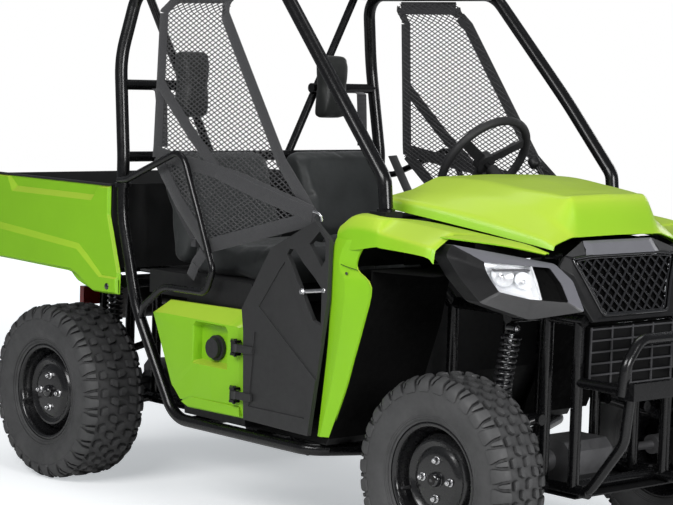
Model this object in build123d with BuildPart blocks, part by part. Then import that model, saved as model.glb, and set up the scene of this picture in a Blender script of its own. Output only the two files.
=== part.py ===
"""Side by side utility vehicle: open two-seat cab in a tube cage, tilting cargo bed, four wheels.

Millimetres. +X is forwards, +Y is the driver's left, +Z is up. The origin is on the ground,
midway between the axles. The right-hand half is drawn and mirrored to the left.
"""

import os
from math import cos, hypot, radians, sin

from build123d import *

os.makedirs("parts", exist_ok=True)

# ---------------------------------------------------------------- driving dimensions
wheelbase = 1855.0
end_overhang = 412.5  # from each axle to the end of the vehicle
overall_width = 1270.0
tyre_radius = 300.0
front_tyre_width = 190.0
rear_tyre_width = 240.0
front_wheel_y = 500.0  # centre plane of a front tyre
rim_inset = 20.0  # from a tyre's side to its rim's flange
flange_radius = 164.0
bead_radius = 152.0
lug_circle_radius = 55.0
tread_lugs = 30  # round each shoulder of a tyre
tread_depth = 12.0
lug_share = 0.6  # of the pitch from one lug to the next
bulge_radius = 215.0  # widest ring of a tyre's side
shoulder_radius = 258.0  # foot of the lugs
king_pin_y = 462.0
running_gap = 0.3  # between a pin and its bore
moving_gap = 6.0  # between parts that move past each other
seat_gap = 0.3  # between a soft part and what carries it

cage_tube = 42.0
frame_tube = 34.0
guard_tube = 22.0
sheet = 5.0  # plastic body panels

front_axle_x = wheelbase / 2
rear_axle_x = -wheelbase / 2
nose_x = front_axle_x + end_overhang
tail_x = rear_axle_x - end_overhang
rear_wheel_y = (overall_width - rear_tyre_width) / 2
axle_z = tyre_radius

cage_y = 576.0  # B post, from the centre plane
roof_z = 1700.0
pillar_y = 501.0  # foot of the A pillar
sill_z = 300.0


# ---------------------------------------------------------------- shared shapes
def add_tube(points, diameter, radii=None, mode=Mode.ADD):
    """Sweeps a round tube along straight runs joined by bends, into the part being built."""
    with BuildLine() as path:
        if radii is None:
            Polyline(*points)
        else:
            FilletPolyline(*points, radius=radii)
    with BuildSketch(Plane(origin=path.line @ 0, z_dir=path.line % 0)) as section:
        Circle(diameter / 2)
    sweep(section.sketch, path=path.line, mode=mode)


def add_slab(outline, y_from, y_to, mode=Mode.ADD):
    """Extrudes an outline of (x, z) corners from one y to another, into the part being built."""
    with BuildSketch(Plane.XZ.offset(-y_from)) as section:
        with BuildLine():
            Polyline(*outline, close=True)
        make_face()
    extrude(section.sketch, amount=y_from - y_to, mode=mode)


def add_block(low, high, mode=Mode.ADD):
    """A box between two corners, into the part being built."""
    size = [b - a for a, b in zip(low, high)]
    centre = [(a + b) / 2 for a, b in zip(low, high)]
    with Locations(tuple(centre)):
        Box(*size, mode=mode)


def loops_solid(loops):
    """A closed solid from the loops of corners that bound its flat faces."""
    return Solid(Shell([Face(Wire.make_polygon(loop)) for loop in loops]))


def corners_solid(points, faces):
    """A closed solid from its corners and its faces, each a loop of corner numbers."""
    return loops_solid([[points[i] for i in loop] for loop in faces])


def panel_solid(rows, thickness, inward):
    """A closed panel of even thickness from rows of corner points on its outer side.

    inward is a point on the panel's inner side, or a function of a corner that gives one.
    """
    n, m = len(rows), len(rows[0])
    outer = [[Vector(*p) for p in row] for row in rows]

    def normal_at(i, j):
        total = Vector(0, 0, 0)
        here = outer[i][j]
        for di, dj in ((1, 1), (1, -1), (-1, -1), (-1, 1)):
            if 0 <= i + di < n and 0 <= j + dj < m:
                a = outer[i + di][j] - here
                b = outer[i][j + dj] - here
                cross = a.cross(b)
                if cross.length > 1e-6:
                    total += cross.normalized() * (1 if di == dj else -1)
        total = total.normalized()
        aim = Vector(*(inward(here) if callable(inward) else inward))
        return total if total.dot(aim - here) > 0 else -total

    inner = [[outer[i][j] + normal_at(i, j) * thickness for j in range(m)] for i in range(n)]
    points = [p for row in outer for p in row] + [p for row in inner for p in row]

    def at(side, i, j):
        return side * n * m + i * m + j

    faces = []
    for i in range(n - 1):
        for j in range(m - 1):
            a, b, c, d = (i, j), (i + 1, j), (i + 1, j + 1), (i, j + 1)
            faces.append([at(0, *a), at(0, *b), at(0, *c)])
            faces.append([at(0, *a), at(0, *c), at(0, *d)])
            faces.append([at(1, *a), at(1, *c), at(1, *b)])
            faces.append([at(1, *a), at(1, *d), at(1, *c)])
    edge = [(i, 0) for i in range(n)] + [(n - 1, j) for j in range(1, m)]
    edge += [(i, m - 1) for i in range(n - 2, -1, -1)] + [(0, j) for j in range(m - 2, 0, -1)]
    for a, b in zip(edge, edge[1:] + edge[:1]):
        faces.append([at(0, *a), at(1, *b), at(0, *b)])
        faces.append([at(0, *a), at(1, *a), at(1, *b)])
    return corners_solid(points, faces)


def mirrored(solids):
    """The solids and their mirror images across the centre plane."""
    return list(solids) + [solid.mirror(Plane.XZ) for solid in solids]


def write(piece, label):
    """Names a finished sub-part and writes it to its file."""
    piece.part.label = label
    export_step(piece.part, f"parts/{label}.step")


# ---------------------------------------------------------------- wheels
wheel_places = {
    "front_right": (front_axle_x, -front_wheel_y, front_tyre_width, -1),
    "front_left": (front_axle_x, front_wheel_y, front_tyre_width, 1),
    "rear_right": (rear_axle_x, -rear_wheel_y, rear_tyre_width, -1),
    "rear_left": (rear_axle_x, rear_wheel_y, rear_tyre_width, 1),
}
spindle_radius = 14.0
hub_face_inset = 20.0  # hub face, from the flange's outer side
rim_wall = 4.0
disc_wall = 5.0
cap_radius = 21.0
nut_radius = 9.0
nut_length = 14.0


def wheel_plane(name):
    """The wheel's own plane: z points outboard along the axle, from the tyre's centre."""
    x, y, _, side = wheel_places[name]
    return Plane(origin=(x, y, axle_z), x_dir=(1, 0, 0), z_dir=(0, side, 0))


def rim_half_width(name):
    return wheel_places[name][2] / 2 - rim_inset


def tyre_solid(plane, half, side_half):
    """A tyre with a row of lugs down each shoulder, the two rows half a pitch apart.

    half is the rim's half width and side_half the tyre's. The plane's z is the axle.
    """
    pitch = 360 / tread_lugs
    lug = pitch * lug_share / 2  # half the angle that a lug takes
    gap = pitch / 2 - lug  # half the angle of the groove beside it
    bead_corner = (bead_radius + seat_gap) / cos(radians(pitch / 2))
    tip = tyre_radius / cos(radians(gap))
    groove = tip - tread_depth
    beads, loops = {}, []
    for side in (-1, 1):

        def corner(radius, reach, place, turn=0.0):
            """A corner at a radius, a reach from the centre plane, a lug's place and a turn from it."""
            angle = radians((place + max(side, 0) / 2) * pitch + turn)
            return plane.from_local_coords((radius * sin(angle), radius * cos(angle), side * reach))

        for k in range(tread_lugs):
            beads[side, k] = corner(bead_corner, half - 8, k)
            next_bead = corner(bead_corner, half - 8, k + 1)
            bulge, next_bulge = [corner(bulge_radius, side_half, place) for place in (k, k + 1)]
            edges_here = ((k, -lug), (k, lug), (k + 1, -lug))
            start, end, after = [corner(shoulder_radius, side_half - 5, *edge) for edge in edges_here]
            top = [corner(tip, side_half - 27, k, turn) for turn in (-lug, lug)]
            crown = [corner(tip, 0, k, turn) for turn in (-lug, -gap, gap, lug)]
            low = [corner(groove, side_half - 30, *edge) for edge in edges_here]
            floor = [corner(groove, 0, *edge) for edge in edges_here]
            loops += [
                [beads[side, k], next_bead, next_bulge, bulge],
                [bulge, end, start],
                [bulge, next_bulge, end],
                [next_bulge, after, end],
                [start, end, top[1], top[0]],
                [top[0], crown[1], crown[0]],
                [top[0], crown[2], crown[1]],
                [top[0], top[1], crown[2]],
                [top[1], crown[3], crown[2]],
                [start, top[0], crown[0], floor[0], low[0]],
                [end, top[1], crown[3], floor[1], low[1]],
                [end, after, low[2], low[1]],
                [low[1], low[2], floor[2], floor[1]],
                [floor[1], floor[2], corner(tip, 0, k + 1, -lug), crown[3]],
            ]
    for k in range(tread_lugs):
        after = (k + 1) % tread_lugs
        loops.append([beads[-1, k], beads[1, k], beads[-1, after]])
        loops.append([beads[1, k], beads[1, after], beads[-1, after]])
    return loops_solid(loops)


for name in wheel_places:
    half = rim_half_width(name)
    side_half = wheel_places[name][2] / 2
    hub_face = half - hub_face_inset
    well_radius = bead_radius - 17
    spin = Plane(
        origin=wheel_plane(name).origin, x_dir=(1, 0, 0), z_dir=(0, 0, 1)
    )  # its Y is the axle
    out = wheel_places[name][3]

    with BuildPart() as rim:
        with BuildSketch(spin):
            with BuildLine():
                Polyline(
                    (flange_radius, half),
                    (bead_radius, half - 8),
                    (bead_radius, half - 30),
                    (well_radius, half - 42),
                    (well_radius, -half + 30),
                    (bead_radius, -half + 20),
                    (bead_radius, -half + 8),
                    (flange_radius, -half),
                    (flange_radius - rim_wall, -half),
                    (bead_radius - rim_wall, -half + 7),
                    (bead_radius - rim_wall, -half + 21),
                    (well_radius - rim_wall, -half + 31),
                    (well_radius - rim_wall, hub_face - 36),
                    (well_radius - rim_wall - 9, hub_face - 34),
                    (100, hub_face - 6),
                    (92, hub_face - disc_wall),
                    (spindle_radius + running_gap, hub_face - disc_wall),
                    (spindle_radius + running_gap, hub_face + 12),
                    (cap_radius, hub_face + 12),
                    (cap_radius, hub_face),
                    (94, hub_face),
                    (104, hub_face - 3),
                    (well_radius - rim_wall - 5, hub_face - 28),
                    (well_radius - rim_wall, half - 43),
                    (bead_radius - rim_wall, half - 31),
                    (bead_radius - rim_wall, half - 7),
                    (flange_radius - rim_wall, half),
                    close=True,
                )
            make_face()
            if out < 0:
                mirror(about=Plane.XZ, mode=Mode.REPLACE)
        revolve(axis=Axis(spin.origin, (0, 1, 0)), revolution_arc=360)
        with Locations(wheel_plane(name).offset(hub_face)):
            with PolarLocations(lug_circle_radius, 4):
                Cylinder(nut_radius, nut_length, align=(Align.CENTER, Align.CENTER, Align.MIN))
    write(rim, f"rim_{name}")

    with BuildPart() as tyre:
        add(tyre_solid(wheel_plane(name), half, side_half))
    write(tyre, f"tyre_{name}")


# ---------------------------------------------------------------- frame
sill_y = 560.0
sill_tube = frame_tube + 4
rail_y = 200.0
rail_z = sill_z - (frame_tube + sill_tube) / 2 - seat_gap
cross_z = rail_z + frame_tube + seat_gap
upper_rail_z = 712.0
front_rail_z = 752.0
post_foot_z = 1035.0  # bolted joint between the cage and the frame
post_foot_x = -556.0
flange_size = 27.0
flange_thick = 7.0


def both_sides(points):
    """The same run of points on the right (as given, y negative) and on the left."""
    return [points, [(x, -y, z) for x, y, z in points]]


def straight_bars(bars, diameter, carriers=()):
    """Straight tubes as separate solids, each cut back to a weld gap at the ones before it."""
    placed = list(carriers)
    solids = []
    for start, end in bars:
        with BuildPart() as bar:
            add_tube([start, end], diameter)
            for points, width, radii in placed:
                add_tube(points, width + 2 * seat_gap, radii, mode=Mode.SUBTRACT)
        solids += bar.solids()
        placed.append(([start, end], diameter, None))
    return solids


side_run = [
    (post_foot_x, -cage_y, post_foot_z),
    (post_foot_x, -cage_y, 935),
    (-478, -568, 640),
    (-272, -sill_y, sill_z),
    (392, -sill_y, sill_z),
    (575, -rail_y, sill_z),
]
side_radii = [400, 400, 110, 90]

with BuildPart() as frame_sides:
    for run in both_sides(side_run):
        add_tube(run, sill_tube, side_radii)
        foot = run[0]
        with Locations((foot[0], foot[1], foot[2] - flange_thick / 2)):
            Cylinder(flange_size, flange_thick)
write(frame_sides, "frame_sides")

rear_end_x = -1185.0
front_end_x = 1150.0
front_post_x = front_end_x - 25
front_top_end_x = front_end_x - 5
rear_post_x = -620.0
dash_bar_x = 600.0
dash_bar_z = 985.0
rear_tower_x = -950.0
front_tower_x = 965.0
arm_tube = 26.0
arm_boss = arm_tube + 6.0
lower_spread = 100.0  # half the distance between an arm's feet
upper_spread = 78.0

side_carriers = [(run, sill_tube, side_radii) for run in both_sides(side_run)]
frame_runs = []
for side in (-1, 1):
    inner = side * rail_y
    frame_runs += [
        ((rear_end_x, inner, rail_z), (front_end_x + 35, inner, rail_z)),
        ((rear_end_x, inner, upper_rail_z), (rear_post_x + 90, inner, upper_rail_z)),
        ((rear_end_x + 20, inner, rail_z), (rear_end_x + 20, inner, upper_rail_z)),
        ((rear_post_x, inner, rail_z), (rear_post_x, inner, upper_rail_z)),
        ((dash_bar_x, inner, front_rail_z), (front_top_end_x, inner, front_rail_z)),
        ((front_post_x, inner, rail_z), (front_post_x, inner, front_rail_z)),
        ((dash_bar_x + 20, inner, rail_z), (dash_bar_x + 20, inner, front_rail_z)),
        ((dash_bar_x + 20, inner, front_rail_z), (dash_bar_x, inner * 2.1, dash_bar_z)),
    ]
    for axle_x, top_z in ((front_axle_x, front_rail_z), (rear_axle_x, upper_rail_z)):
        for post_x in (axle_x - upper_spread, axle_x + upper_spread):
            frame_runs.append(((post_x, inner, rail_z), (post_x, inner, top_z)))
frame_runs += [
    ((-200, -sill_y, cross_z), (-200, sill_y, cross_z)),
    ((110, -sill_y, cross_z), (110, sill_y, cross_z)),
    ((380, -sill_y, cross_z), (380, sill_y, cross_z)),
    ((rear_end_x + 60, -rail_y, rail_z), (rear_end_x + 60, rail_y, rail_z)),
    ((-650, -rail_y, rail_z), (-650, rail_y, rail_z)),
    ((-300, -rail_y, rail_z), (-300, rail_y, rail_z)),
    ((front_end_x - 60, -rail_y, rail_z), (front_end_x - 60, rail_y, rail_z)),
    ((rear_tower_x, -330, upper_rail_z), (rear_tower_x, 330, upper_rail_z)),
    ((front_tower_x, -330, front_rail_z), (front_tower_x, 330, front_rail_z)),
    ((dash_bar_x, -505, dash_bar_z), (dash_bar_x, 505, dash_bar_z)),
    ((rear_post_x + 75, -570, upper_rail_z), (rear_post_x + 75, 570, upper_rail_z)),
]
with BuildPart() as frame_bars:
    add(straight_bars(frame_runs, frame_tube, side_carriers))
write(frame_bars, "frame_bars")

# ---------------------------------------------------------------- cage
cage_foot_z = post_foot_z + flange_thick + seat_gap
dash_top_z = 1034.0
waist_bar_z = 1128.0
elbow_z = waist_bar_z + 0.563 * (roof_z - waist_bar_z)
shoulder_bar_z = elbow_z - 86
pillar_foot = (628, -pillar_y, dash_top_z + flange_thick + seat_gap)
cage_run = [
    (post_foot_x, -cage_y, cage_foot_z),
    (post_foot_x, -cage_y, waist_bar_z + 2),
    (-602, -562, elbow_z),
    (-572, -512, roof_z),
    (92, -474, roof_z),
    (417, -497, waist_bar_z + 0.395 * (roof_z - waist_bar_z)),
    (618, -pillar_y, waist_bar_z),
    pillar_foot,
]
cage_radii = [300, 400, 95, 120, 2500, 60]

for label, run in zip(("cage_right", "cage_left"), both_sides(cage_run)):
    with BuildPart() as cage:
        add_tube(run, cage_tube, cage_radii)
        for x, y, z in (run[0], run[-1]):
            with Locations((x, y, z - flange_thick / 2)):
                Cylinder(flange_size, flange_thick)
    write(cage, label)

brace_x = -600.0
brace_top_z = roof_z - 8
stub_end_y = 262.0  # of the shoulder bars, just inboard of the braces that they meet
cage_carriers = [(run, cage_tube, cage_radii) for run in both_sides(cage_run)]
cross_bars = [
    ((-573, -500, roof_z), (-573, 500, roof_z)),
    ((100, -470, roof_z - 4), (100, 470, roof_z - 4)),
    ((-587, -575, shoulder_bar_z), (-587, -stub_end_y, shoulder_bar_z)),
    ((-587, stub_end_y, shoulder_bar_z), (-587, 575, shoulder_bar_z)),
    ((-563, -576, waist_bar_z), (-563, 576, waist_bar_z)),
]
with BuildPart() as cage_bars:
    add(straight_bars(cross_bars, frame_tube, cage_carriers))
    bar_carriers = cage_carriers + [([a, b], frame_tube, None) for a, b in cross_bars]
    brace_runs = [
        ((brace_x, side * 470, brace_top_z), (brace_x, side * 165, waist_bar_z - 14))
        for side in (-1, 1)
    ]
    add(straight_bars(brace_runs, frame_tube - 6, bar_carriers))
write(cage_bars, "cage_bars")

guard_run = [
    (-556, -592, 1052),
    (-500, -600, 1058),
    (-210, -603, 1170),
    (-115, -603, 970),
    (-40, -603, 800),
    (-72, -603, 729),
    (-290, -603, 727),
    (-400, -598, 652),
    (-452, -570, 606),
]
guard_radii = [60, 55, 300, 45, 40, 120, 40]
with BuildPart() as hip_guards:
    for run in both_sides(guard_run):
        add_tube(run, guard_tube, guard_radii)
    for run in both_sides(cage_run):
        add_tube(run, cage_tube + 2 * seat_gap, cage_radii, mode=Mode.SUBTRACT)
        foot = run[0]
        with Locations((foot[0], foot[1], foot[2] - flange_thick / 2)):
            Cylinder(flange_size + seat_gap, flange_thick + 2 * seat_gap, mode=Mode.SUBTRACT)
    for run in both_sides(side_run):
        add_tube(run, sill_tube + 2 * seat_gap, side_radii, mode=Mode.SUBTRACT)
write(hip_guards, "hip_guards")

# ---------------------------------------------------------------- suspension, drive and engine
ball_drop = 78.0  # ball joints, above and below the axle
seat_tube_inset = 6.0  # ends of the tube under a shock absorber, from the arm's centre lines
lower_pivot_z = rail_z
upper_pivot_z = 455.0
arm_pivot_y = rail_y + (frame_tube + arm_boss) / 2 + seat_gap
king_pin_radius = 9.0
rear_ball_y = rear_wheel_y - 60
shock_radius = 30.0
damper_radius = 12.0

# axle x, ball joint y, and the y and level of the arm that carries the shock absorber
suspension = {
    "front": (front_axle_x, king_pin_y, 322.0, 1),
    "rear": (rear_axle_x, rear_ball_y, 330.0, 1),
}


# level of the ball joint, half spread of the feet, z of the feet
arm_levels = ((-1, lower_spread, lower_pivot_z), (1, upper_spread, upper_pivot_z))
shock_seats = {}



def arm_solids(axle, level, spread, foot_z):
    """A right-hand A-shaped arm, from its two feet on the frame to its ball joint."""
    x, y, seat_y, seat_level = suspension[axle]
    ball = (x, -y, axle_z + level * ball_drop)
    with BuildPart() as arm:
        for end in (-1, 1):
            foot = (x + end * spread, -arm_pivot_y, foot_z)
            add_tube([foot, ball], arm_tube)
            with Locations(Plane(origin=foot, z_dir=(1, 0, 0))):
                Cylinder(arm_boss / 2, 44)
        with Locations(ball):
            Cylinder(arm_tube / 2 + 4, arm_tube + 10)
        if level == seat_level:
            share = (seat_y - arm_pivot_y) / (y - arm_pivot_y)
            half = spread * (1 - share) - seat_tube_inset
            seat_z = foot_z + share * (ball[2] - foot_z)
            shock_seats[axle] = seat_z
            add_tube([(x + end * half, -seat_y, seat_z) for end in (-1, 1)], arm_tube)
        if axle == "front":
            with Locations(ball):
                Cylinder(king_pin_radius + running_gap, 80, mode=Mode.SUBTRACT)
    return arm.solids()


with BuildPart() as suspension_arms:
    for axle in suspension:
        for arm_row in arm_levels:
            add(mirrored(arm_solids(axle, *arm_row)))
write(suspension_arms, "suspension_arms")

with BuildPart() as knuckle_right:
    ball_low = axle_z - ball_drop
    ball_high = axle_z + ball_drop
    hub_face_y = front_wheel_y + rim_half_width("front_right") - hub_face_inset
    with Locations((front_axle_x, -king_pin_y - 14, axle_z)):
        Box(46, 34, 2 * ball_drop - 46)
    for z, reach in ((ball_low, 1), (ball_high, -1)):
        with Locations((front_axle_x, -king_pin_y, z)):
            Cylinder(king_pin_radius, 62)
        with Locations((front_axle_x, -king_pin_y - 7, z + reach * 26)):
            Box(40, 40, 10)
    with Locations(Plane(origin=(front_axle_x, -king_pin_y - 10, axle_z), z_dir=(0, -1, 0))):
        Cylinder(52, 40, align=(Align.CENTER, Align.CENTER, Align.MIN))
        Cylinder(
            spindle_radius, hub_face_y + 22 - king_pin_y - 10, align=(Align.CENTER, Align.CENTER, Align.MIN)
        )
    add_block((front_axle_x - 95, -king_pin_y - 22, axle_z - 12), (front_axle_x - 10, -king_pin_y, axle_z + 8))
write(knuckle_right, "knuckle_right")
with BuildPart() as knuckle_left:
    mirror(knuckle_right.part, about=Plane.XZ)
write(knuckle_left, "knuckle_left")

with BuildPart() as rear_hubs:
    rear_hub_face_y = rear_wheel_y + rim_half_width("rear_right") - hub_face_inset
    for side in (-1, 1):
        with Locations(
            Plane(origin=(rear_axle_x, side * (rear_ball_y + 18), axle_z), z_dir=(0, side, 0))
        ):
            Cylinder(52, 70, align=(Align.CENTER, Align.CENTER, Align.MIN))
            Cylinder(
                spindle_radius,
                rear_hub_face_y - rear_ball_y - 6,
                align=(Align.CENTER, Align.CENTER, Align.MIN),
            )
        with Locations((rear_axle_x, side * (rear_ball_y + 30.3), axle_z)):
            Box(42, 26, 2 * ball_drop + 30)
write(rear_hubs, "rear_hubs")

# top and bottom eyes of each shock absorber, right side
shock_eye = 15.0
eye_drop = frame_tube / 2 + shock_eye + seat_gap
eye_rise = arm_tube / 2 + shock_eye + seat_gap
shock_top_y = 305.0
shock_runs = {
    "front": (
        (front_tower_x, -shock_top_y, front_rail_z - eye_drop),
        (front_axle_x, -suspension["front"][2], shock_seats["front"] + eye_rise),
    ),
    "rear": (
        (rear_tower_x, -shock_top_y, upper_rail_z - eye_drop),
        (rear_axle_x, -suspension["rear"][2], shock_seats["rear"] + eye_rise),
    ),
}
with BuildPart() as shocks:
    for top, bottom in shock_runs.values():
        for upper, lower in zip(both_sides([top]), both_sides([bottom])):
            upper, lower = Vector(*upper[0]), Vector(*lower[0])
            axis = (upper - lower).normalized()
            add_tube([lower, upper], 2 * damper_radius)
            add_tube([lower + axis * 48, upper - axis * 26], 2 * shock_radius)
            for eye in (lower, upper):
                with Locations(Plane(origin=eye, z_dir=(1, 0, 0))):
                    Cylinder(shock_eye, 30)
write(shocks, "shocks")

shaft_radius = 13.0
shaft_z = axle_z + 8
skid_z = rail_z - frame_tube / 2 - seat_gap  # top of the skid plate
gearcase_half_height = shaft_z - skid_z - seat_gap
# half length and half width of each gearcase
gearcase_sizes = {"front": (88.0, 94.0), "rear": (105.0, 114.0)}

with BuildPart() as drive_shafts:
    for axle, outer_end in (("front", king_pin_y - 34), ("rear", rear_ball_y - 8)):
        inner_end = gearcase_sizes[axle][1] + seat_gap
        for side in (-1, 1):
            for start, length, radius in (
                (inner_end, outer_end - inner_end, shaft_radius),
                (inner_end, 62, 34),
                (outer_end - 48, 48, 30),
            ):
                spot = (suspension[axle][0], side * start, shaft_z)
                with Locations(Plane(origin=spot, z_dir=(0, side, 0))):
                    Cylinder(radius, length, align=(Align.CENTER, Align.CENTER, Align.MIN))

with BuildPart() as gearcases:
    for axle, (half_x, half_y) in gearcase_sizes.items():
        with Locations((suspension[axle][0], 0, shaft_z)):
            Box(2 * half_x, 2 * half_y, 2 * gearcase_half_height)
    chamfer(edges().filter_by(Axis.Y), 26)

with BuildPart() as driveline:
    add([gearcases.part, drive_shafts.part])
write(driveline, "driveline")

engine_low = (-700, -170, rail_z + frame_tube / 2 + seat_gap)
engine_high = (-250, 170, 676)
with BuildPart() as engine_block:
    add_block(engine_low, engine_high)
    chamfer(edges().filter_by(Axis.Y), 26)
write(engine_block, "engine_block")

with BuildPart() as muffler:
    with Locations(Plane(origin=(rear_end_x + 65, 0, 585), z_dir=(0, 1, 0))):
        Cylinder(78, 330)
        fillet(edges().filter_by(GeomType.CIRCLE), 18)
    add_tube([(rear_end_x + 65, 130, 585), (rear_end_x - 60, 130, 585)], 38)
    add_tube([(rear_end_x + 65, -60, 585), (engine_low[0] - seat_gap, -60, 585)], 36)
write(muffler, "muffler")


# ---------------------------------------------------------------- floor, seats and cabin trim
def thicken(points, thickness):
    """The closed outline of a bent sheet: its corners, then those of its right-hand face."""
    normals = []
    for (x0, z0), (x1, z1) in zip(points, points[1:]):
        length = hypot(x1 - x0, z1 - z0)
        normals.append(((z1 - z0) / length, (x0 - x1) / length))
    inner = []
    for i, (x, z) in enumerate(points):
        a, b = normals[max(i - 1, 0)], normals[min(i, len(normals) - 1)]
        reach = thickness / (1 + a[0] * b[0] + a[1] * b[1])
        inner.append((x + reach * (a[0] + b[0]), z + reach * (a[1] + b[1])))
    return list(points) + inner[::-1]


floor_sheet = 4.0
floor_z = sill_z + sill_tube / 2 + seat_gap
floor_half = 536.0
floor_rear = -225.0
toe_run = [(floor_rear, floor_z), (440, floor_z), (545, 520), (566, 858)]
with BuildPart() as floor_pan:
    add_slab(thicken(toe_run, -floor_sheet), -floor_half, floor_half)
write(floor_pan, "floor_pan")

with BuildPart() as skid_plate:
    add_block((-1060, -218, skid_z - 4), (front_end_x, 218, skid_z))
write(skid_plate, "skid_plate")

base_half = 555.7
base_front = 80.0
base_top = 770.0
base_outline = [
    (floor_rear, floor_z + floor_sheet + seat_gap),
    (base_front, floor_z + floor_sheet + seat_gap),
    (base_front - 16, 690),
    (base_front + 16, 706),
    (base_front + 16, base_top),
    (-425, base_top),
    (-425, 694),
    (floor_rear, 694),
]
with BuildPart() as seat_base:
    add_slab(base_outline, -base_half, base_half)
write(seat_base, "seat_base")

seat_y = 270.0
seat_half = 222.0
cushion_outline = [
    (-338, base_top + seat_gap),
    (128, base_top + seat_gap),
    (156, 800),
    (152, 852),
    (118, 880),
    (-120, 868),
    (-304, 872),
]
back_outline = [
    (-346, base_top + seat_gap),
    (-312, 874),
    (-372, 1020),
    (-424, 1142),
    (-452, 1163),
    (-496, 1160),
    (-516, 1132),
    (-430, 870),
    (-400, base_top + seat_gap),
]
with BuildPart() as seat_cushions:
    for y in (-seat_y, seat_y):
        add_slab(cushion_outline, y - seat_half, y + seat_half)
write(seat_cushions, "seat_cushions")
with BuildPart() as seat_backs:
    for y in (-seat_y, seat_y):
        add_slab(back_outline, y - seat_half + 6, y + seat_half - 6)
write(seat_backs, "seat_backs")

headrest_y = 314.0
headrest_half = 58.0
headrest_back = -587 + frame_tube / 2 + seat_gap
headrest_outline = [
    (headrest_back, shoulder_bar_z - 102),
    (headrest_back + 20, shoulder_bar_z - 109),
    (headrest_back + 58, shoulder_bar_z - 102),
    (headrest_back + 66, shoulder_bar_z - 64),
    (headrest_back + 66, shoulder_bar_z + 76),
    (headrest_back + 54, shoulder_bar_z + 116),
    (headrest_back + 16, shoulder_bar_z + 120),
    (headrest_back, shoulder_bar_z + 106),
]
with BuildPart() as headrests:
    for y in (-headrest_y, headrest_y):
        add_slab(headrest_outline, y - headrest_half, y + headrest_half)
    fillet(edges().filter_by(Axis.Y), 6)
write(headrests, "headrests")

wheel_centre = Vector(270, 270, 1150)
column_dir = Vector(cos(radians(35)), 0, -sin(radians(35)))
column_radius = 22.0
dash_half = 515.0
dash_front = 672.0
dash_run = [
    (dash_front, 940),
    (dash_front, dash_top_z - 26),
    (560, dash_top_z - 22),
    (492, dash_top_z - 44),
    (474, 930),
    (522, 862),
]
column_end = wheel_centre + column_dir * 330
column_start = wheel_centre + column_dir * 42
with BuildPart() as dash:
    add_slab(thicken(dash_run, -sheet), -dash_half, dash_half)
    for side in (-1, 1):
        pad_y = side * pillar_y
        add_block(
            (pillar_foot[0] - 34, pad_y - 34, dash_top_z - 30),
            (pillar_foot[0] + 34, pad_y + 34, dash_top_z),
        )
    add_tube([column_start, column_end], 2 * (column_radius + seat_gap), mode=Mode.SUBTRACT)
write(dash, "dash")

knob_radius = 20.0
with BuildPart() as lever_stick:
    lever = [(511, 380, 996.5), (501, 380, 1028), (410, 360, 1155)]
    add_tube(lever, 14)
    with Locations(Plane(origin=lever[-1], z_dir=(-90, -20, 125))):
        Cylinder(knob_radius, 36)
    fillet(edges().filter_by(GeomType.CIRCLE).sort_by(SortBy.RADIUS)[-2:], 12)
with BuildPart() as controls:
    add_tube([column_start, column_end], 2 * column_radius)
    add_tube([wheel_centre - column_dir * 12, column_end], 20)
    add(lever_stick.solids())
    for y in (190, 300):
        add_tube([(519, y, 861.7), (500, y, 640), (466, y, 446)], 14)
        with Locations(Plane(origin=(466, y, 440), z_dir=(-1, 0, 0.7))):
            Box(90, 62, 9)
write(controls, "controls")

with BuildPart() as steering_wheel:
    wheel_plane_tilted = Plane(origin=wheel_centre, x_dir=(0, 1, 0), z_dir=-column_dir)
    with Locations(wheel_plane_tilted):
        Torus(168, 14)
        Cylinder(34, 30)
        with PolarLocations(0, 3, start_angle=90):
            with Locations((100, 0, 0)):
                Box(150, 34, 9)
        Cylinder(10 + running_gap, 60, mode=Mode.SUBTRACT)
write(steering_wheel, "steering_wheel")


# ---------------------------------------------------------------- body panels of the cabin and nose
def ring_solid(outer, inner, depth):
    """A closed frame between two loops of as many corners, drawn back by a depth vector."""
    n = len(outer)
    back = Vector(*depth)
    front = [Vector(*p) for p in list(outer) + list(inner)]
    points = front + [p + back for p in front]
    faces = []
    for i in range(n):
        j = (i + 1) % n
        for a, b, c, d in (
            (i, j, n + j, n + i),
            (3 * n + i, 3 * n + j, 2 * n + j, 2 * n + i),
            (j, i, 2 * n + i, 2 * n + j),
            (n + i, n + j, 3 * n + j, 3 * n + i),
        ):
            faces += [[a, b, c], [a, c, d]]
    return corners_solid(points, faces)


def plug_solid(loop, depth):
    """A closed plug behind a loop of corners, fanned from its centre, drawn back by a vector."""
    n = len(loop)
    rim = [Vector(*p) for p in loop]
    centre = sum(rim[1:], rim[0]) * (1 / n)
    back = Vector(*depth)
    points = rim + [centre] + [p + back for p in rim] + [centre + back]
    faces = []
    for i in range(n):
        j = (i + 1) % n
        faces += [[i, j, n], [n + 1 + j, n + 1 + i, 2 * n + 1]]
        faces += [[j, i, n + 1 + i], [j, n + 1 + i, n + 1 + j]]
    return corners_solid(points, faces)


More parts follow.
